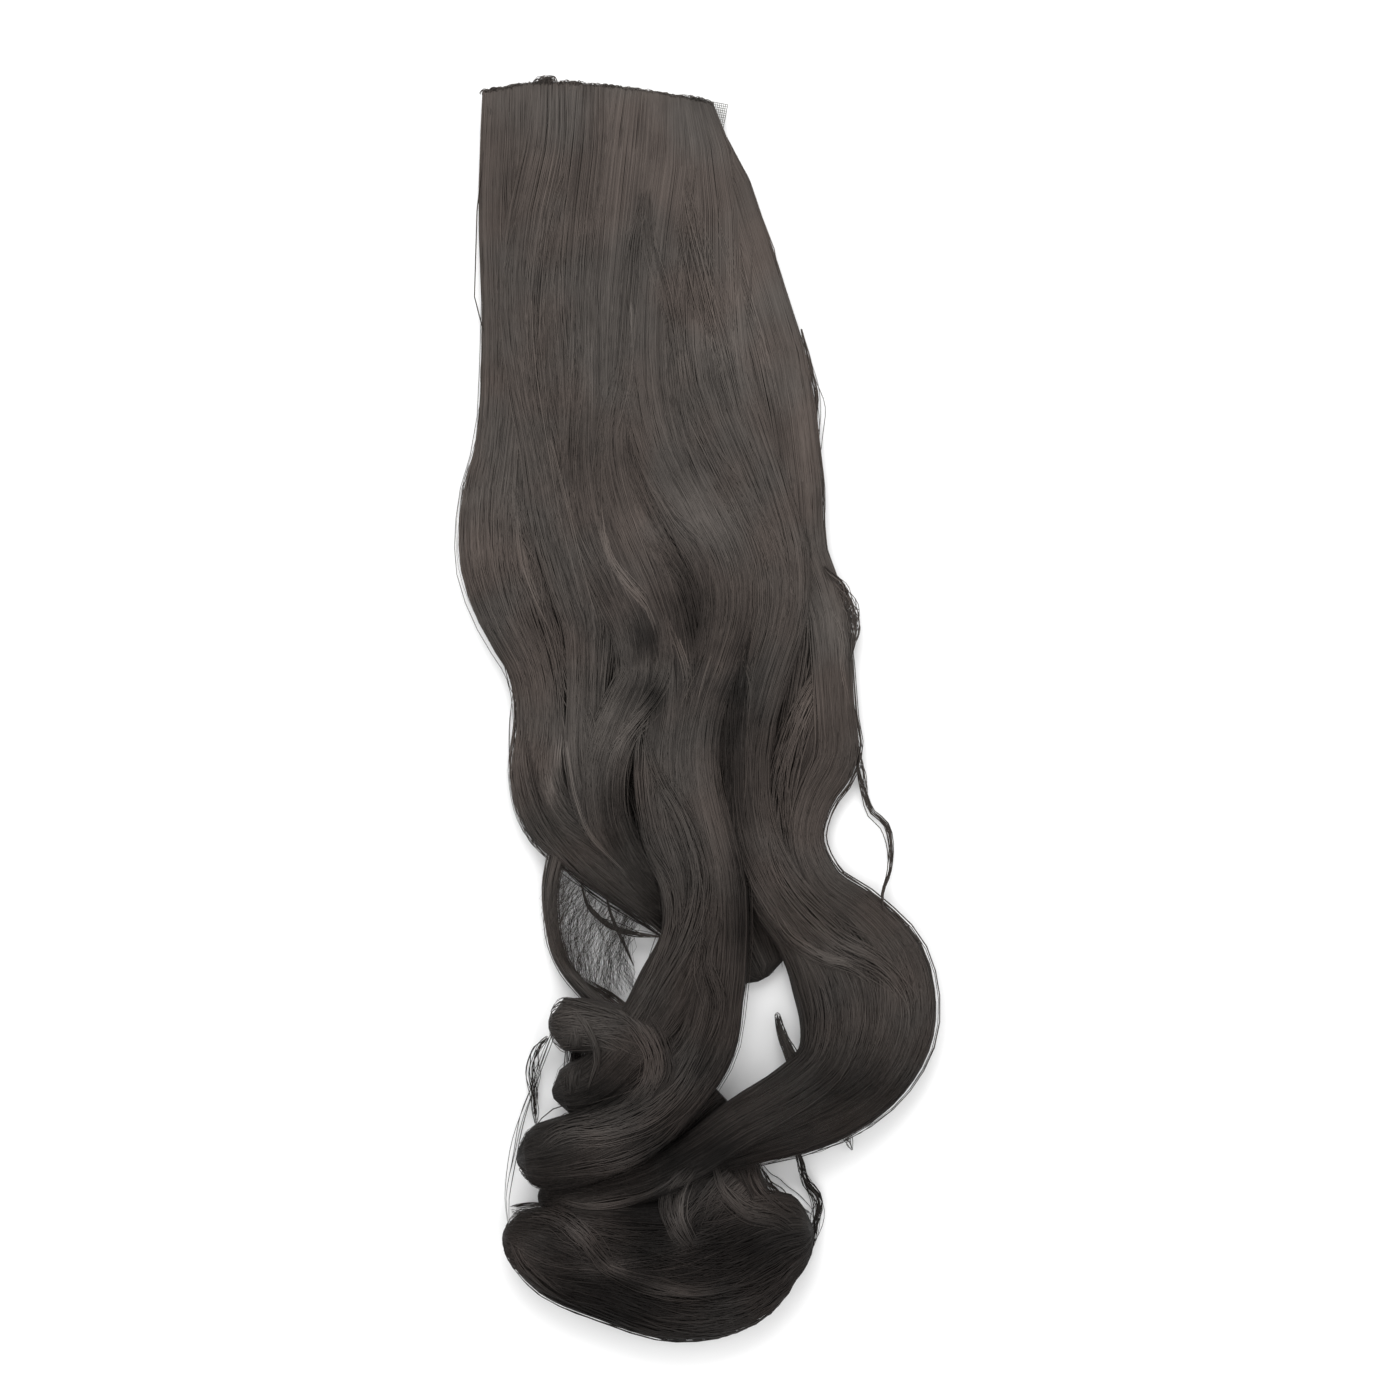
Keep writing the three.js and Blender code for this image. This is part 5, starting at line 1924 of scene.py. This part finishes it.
class HAIRPIECE_OT_lace_tape(bpy.types.Operator):
    """Builds the lace tape behind the band as an open net"""

    bl_idname = "hairpiece.lace_tape"
    bl_label = "Lace tape"

    def execute(self, context):
        net = bmesh.new()
        bmesh.ops.create_grid(net, x_segments=LACE_COLUMNS, y_segments=LACE_LINES, size=0.5)
        distances = np.linspace(BAND_START + TAPE_INSET, BAND_END + TAPE_OVERHANG, LACE_COLUMNS + 1)
        middle = band_points(TAPE_HEIGHT, distances) + SHIFT
        sides, ups = carried_frames(middle)
        for vertex in net.verts:
            column = round((vertex.co.x + 0.5) * LACE_COLUMNS)
            offset = vertex.co.y * TAPE_DEPTH * 0.97
            wave = 0.0002 * math.sin(column * math.pi + vertex.co.y * LACE_LINES * math.pi)
            vertex.co = middle[column] + sides[column] * offset + ups[column] * wave
        bmesh.ops.recalc_face_normals(net, faces=net.faces[:])
        bmesh.ops.wireframe(
            net,
            faces=net.faces[:],
            thickness=LACE_THREAD,
            use_replace=True,
            use_boundary=True,
            use_even_offset=False,
        )
        mesh = finished(net, "lace_tape_net")
        mesh.shade_smooth()
        add_piece("lace_tape_net", mesh, shared_material("Lace net", lace_looks), "lace", "lace_tape")
        return {"FINISHED"}


class HAIRPIECE_OT_snap_clips(bpy.types.Operator):
    """Paints the two snap clips, whose solids already have their shape"""

    bl_idname = "hairpiece.snap_clips"
    bl_label = "Snap clips"

    def execute(self, context):
        for name in ("clip_left", "clip_right"):
            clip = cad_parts[name]
            clip.data.materials.clear()
            clip.data.materials.append(shared_material("Painted clip", clip_looks))
        return {"FINISHED"}


def place_in_scene(name, data, place):
    """An object at a place in the scene, unturned."""
    item = bpy.data.objects.new(name, data)
    item.location = place
    bpy.context.scene.collection.objects.link(item)
    return item


class HAIRPIECE_OT_stage(bpy.types.Operator):
    """Adds the pale floor, the soft lights and the camera straight above the hairpiece"""

    bl_idname = "hairpiece.stage"
    bl_label = "Stage"

    def execute(self, context):
        scene = context.scene
        plane = bmesh.new()
        bmesh.ops.create_grid(plane, x_segments=1, y_segments=1, size=scene.hairpiece_sizes.floor_size / 2)
        bmesh.ops.translate(plane, verts=plane.verts[:], vec=(0, 0, -0.0002))
        mesh = finished(plane, "floor")
        mesh.materials.append(shared_material("Pale floor", floor_looks))
        place_in_scene("floor", mesh, (0, 0, 0))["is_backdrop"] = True

        scene.world = bpy.data.worlds.new("Soft studio")
        scene.world.use_nodes = True
        light = {"Color": (1, 1, 1, 1), "Strength": WORLD_LIGHT}
        fill(scene.world.node_tree, scene.world.node_tree.nodes["Background"], light)
        for name, (place, target, side, power) in LAMPS.items():
            lamp = bpy.data.lights.new(name, "AREA")
            lamp.shape = "SQUARE"
            lamp.size = side
            lamp.energy = power
            aim = Vector(target) - Vector(place)
            place_in_scene(name, lamp, place).rotation_euler = aim.to_track_quat("-Z", "Y").to_euler()

        camera = bpy.data.cameras.new("camera")
        camera.sensor_width = CAMERA_SENSOR
        camera.lens = CAMERA_LENS
        camera.clip_start = 0.1
        camera.clip_end = 20
        middle = (line_places([CAMERA_PLACE]) + SHIFT)[0]
        scene.camera = place_in_scene("camera", camera, (middle[0], middle[1], CAMERA_HEIGHT))
        scene.view_settings.view_transform = "Standard"
        return {"FINISHED"}


class HAIRPIECE_PT_panel(bpy.types.Panel):
    """Lists the pieces of the hairpiece"""

    bl_idname = "HAIRPIECE_PT_panel"
    bl_label = "Hairpiece"
    bl_space_type = "VIEW_3D"
    bl_region_type = "UI"
    bl_category = "Hairpiece"

    def draw(self, context):
        layout = self.layout
        for group in (context.scene.hairpiece_sizes, context.scene.hairpiece_colours):
            box = layout.box()
            for name in group.__annotations__:
                box.prop(group, name)
        for operator in OPERATORS:
            layout.operator(operator.bl_idname)


OPERATORS = (
    HAIRPIECE_OT_hair_body,
    HAIRPIECE_OT_hair_strands,
    HAIRPIECE_OT_surface_waves,
    HAIRPIECE_OT_loose_strands,
    HAIRPIECE_OT_weft_band,
    HAIRPIECE_OT_lace_tape,
    HAIRPIECE_OT_snap_clips,
    HAIRPIECE_OT_stage,
)
CLASSES = (HairpieceSizes, HairpieceColours, *OPERATORS, HAIRPIECE_PT_panel)


def register():
    for item in CLASSES:
        bpy.utils.register_class(item)
    bpy.types.Scene.hairpiece_sizes = bpy.props.PointerProperty(type=HairpieceSizes)
    bpy.types.Scene.hairpiece_colours = bpy.props.PointerProperty(type=HairpieceColours)


def unregister():
    del bpy.types.Scene.hairpiece_colours
    del bpy.types.Scene.hairpiece_sizes
    for item in reversed(CLASSES):
        bpy.utils.unregister_class(item)


def main():
    register()
    bpy.ops.hairpiece.hair_body()
    bpy.ops.hairpiece.hair_strands()
    bpy.ops.hairpiece.surface_waves()
    bpy.ops.hairpiece.loose_strands()
    bpy.ops.hairpiece.weft_band()
    bpy.ops.hairpiece.lace_tape()
    bpy.ops.hairpiece.snap_clips()
    bpy.ops.hairpiece.stage()


if __name__ == "__main__":
    main()
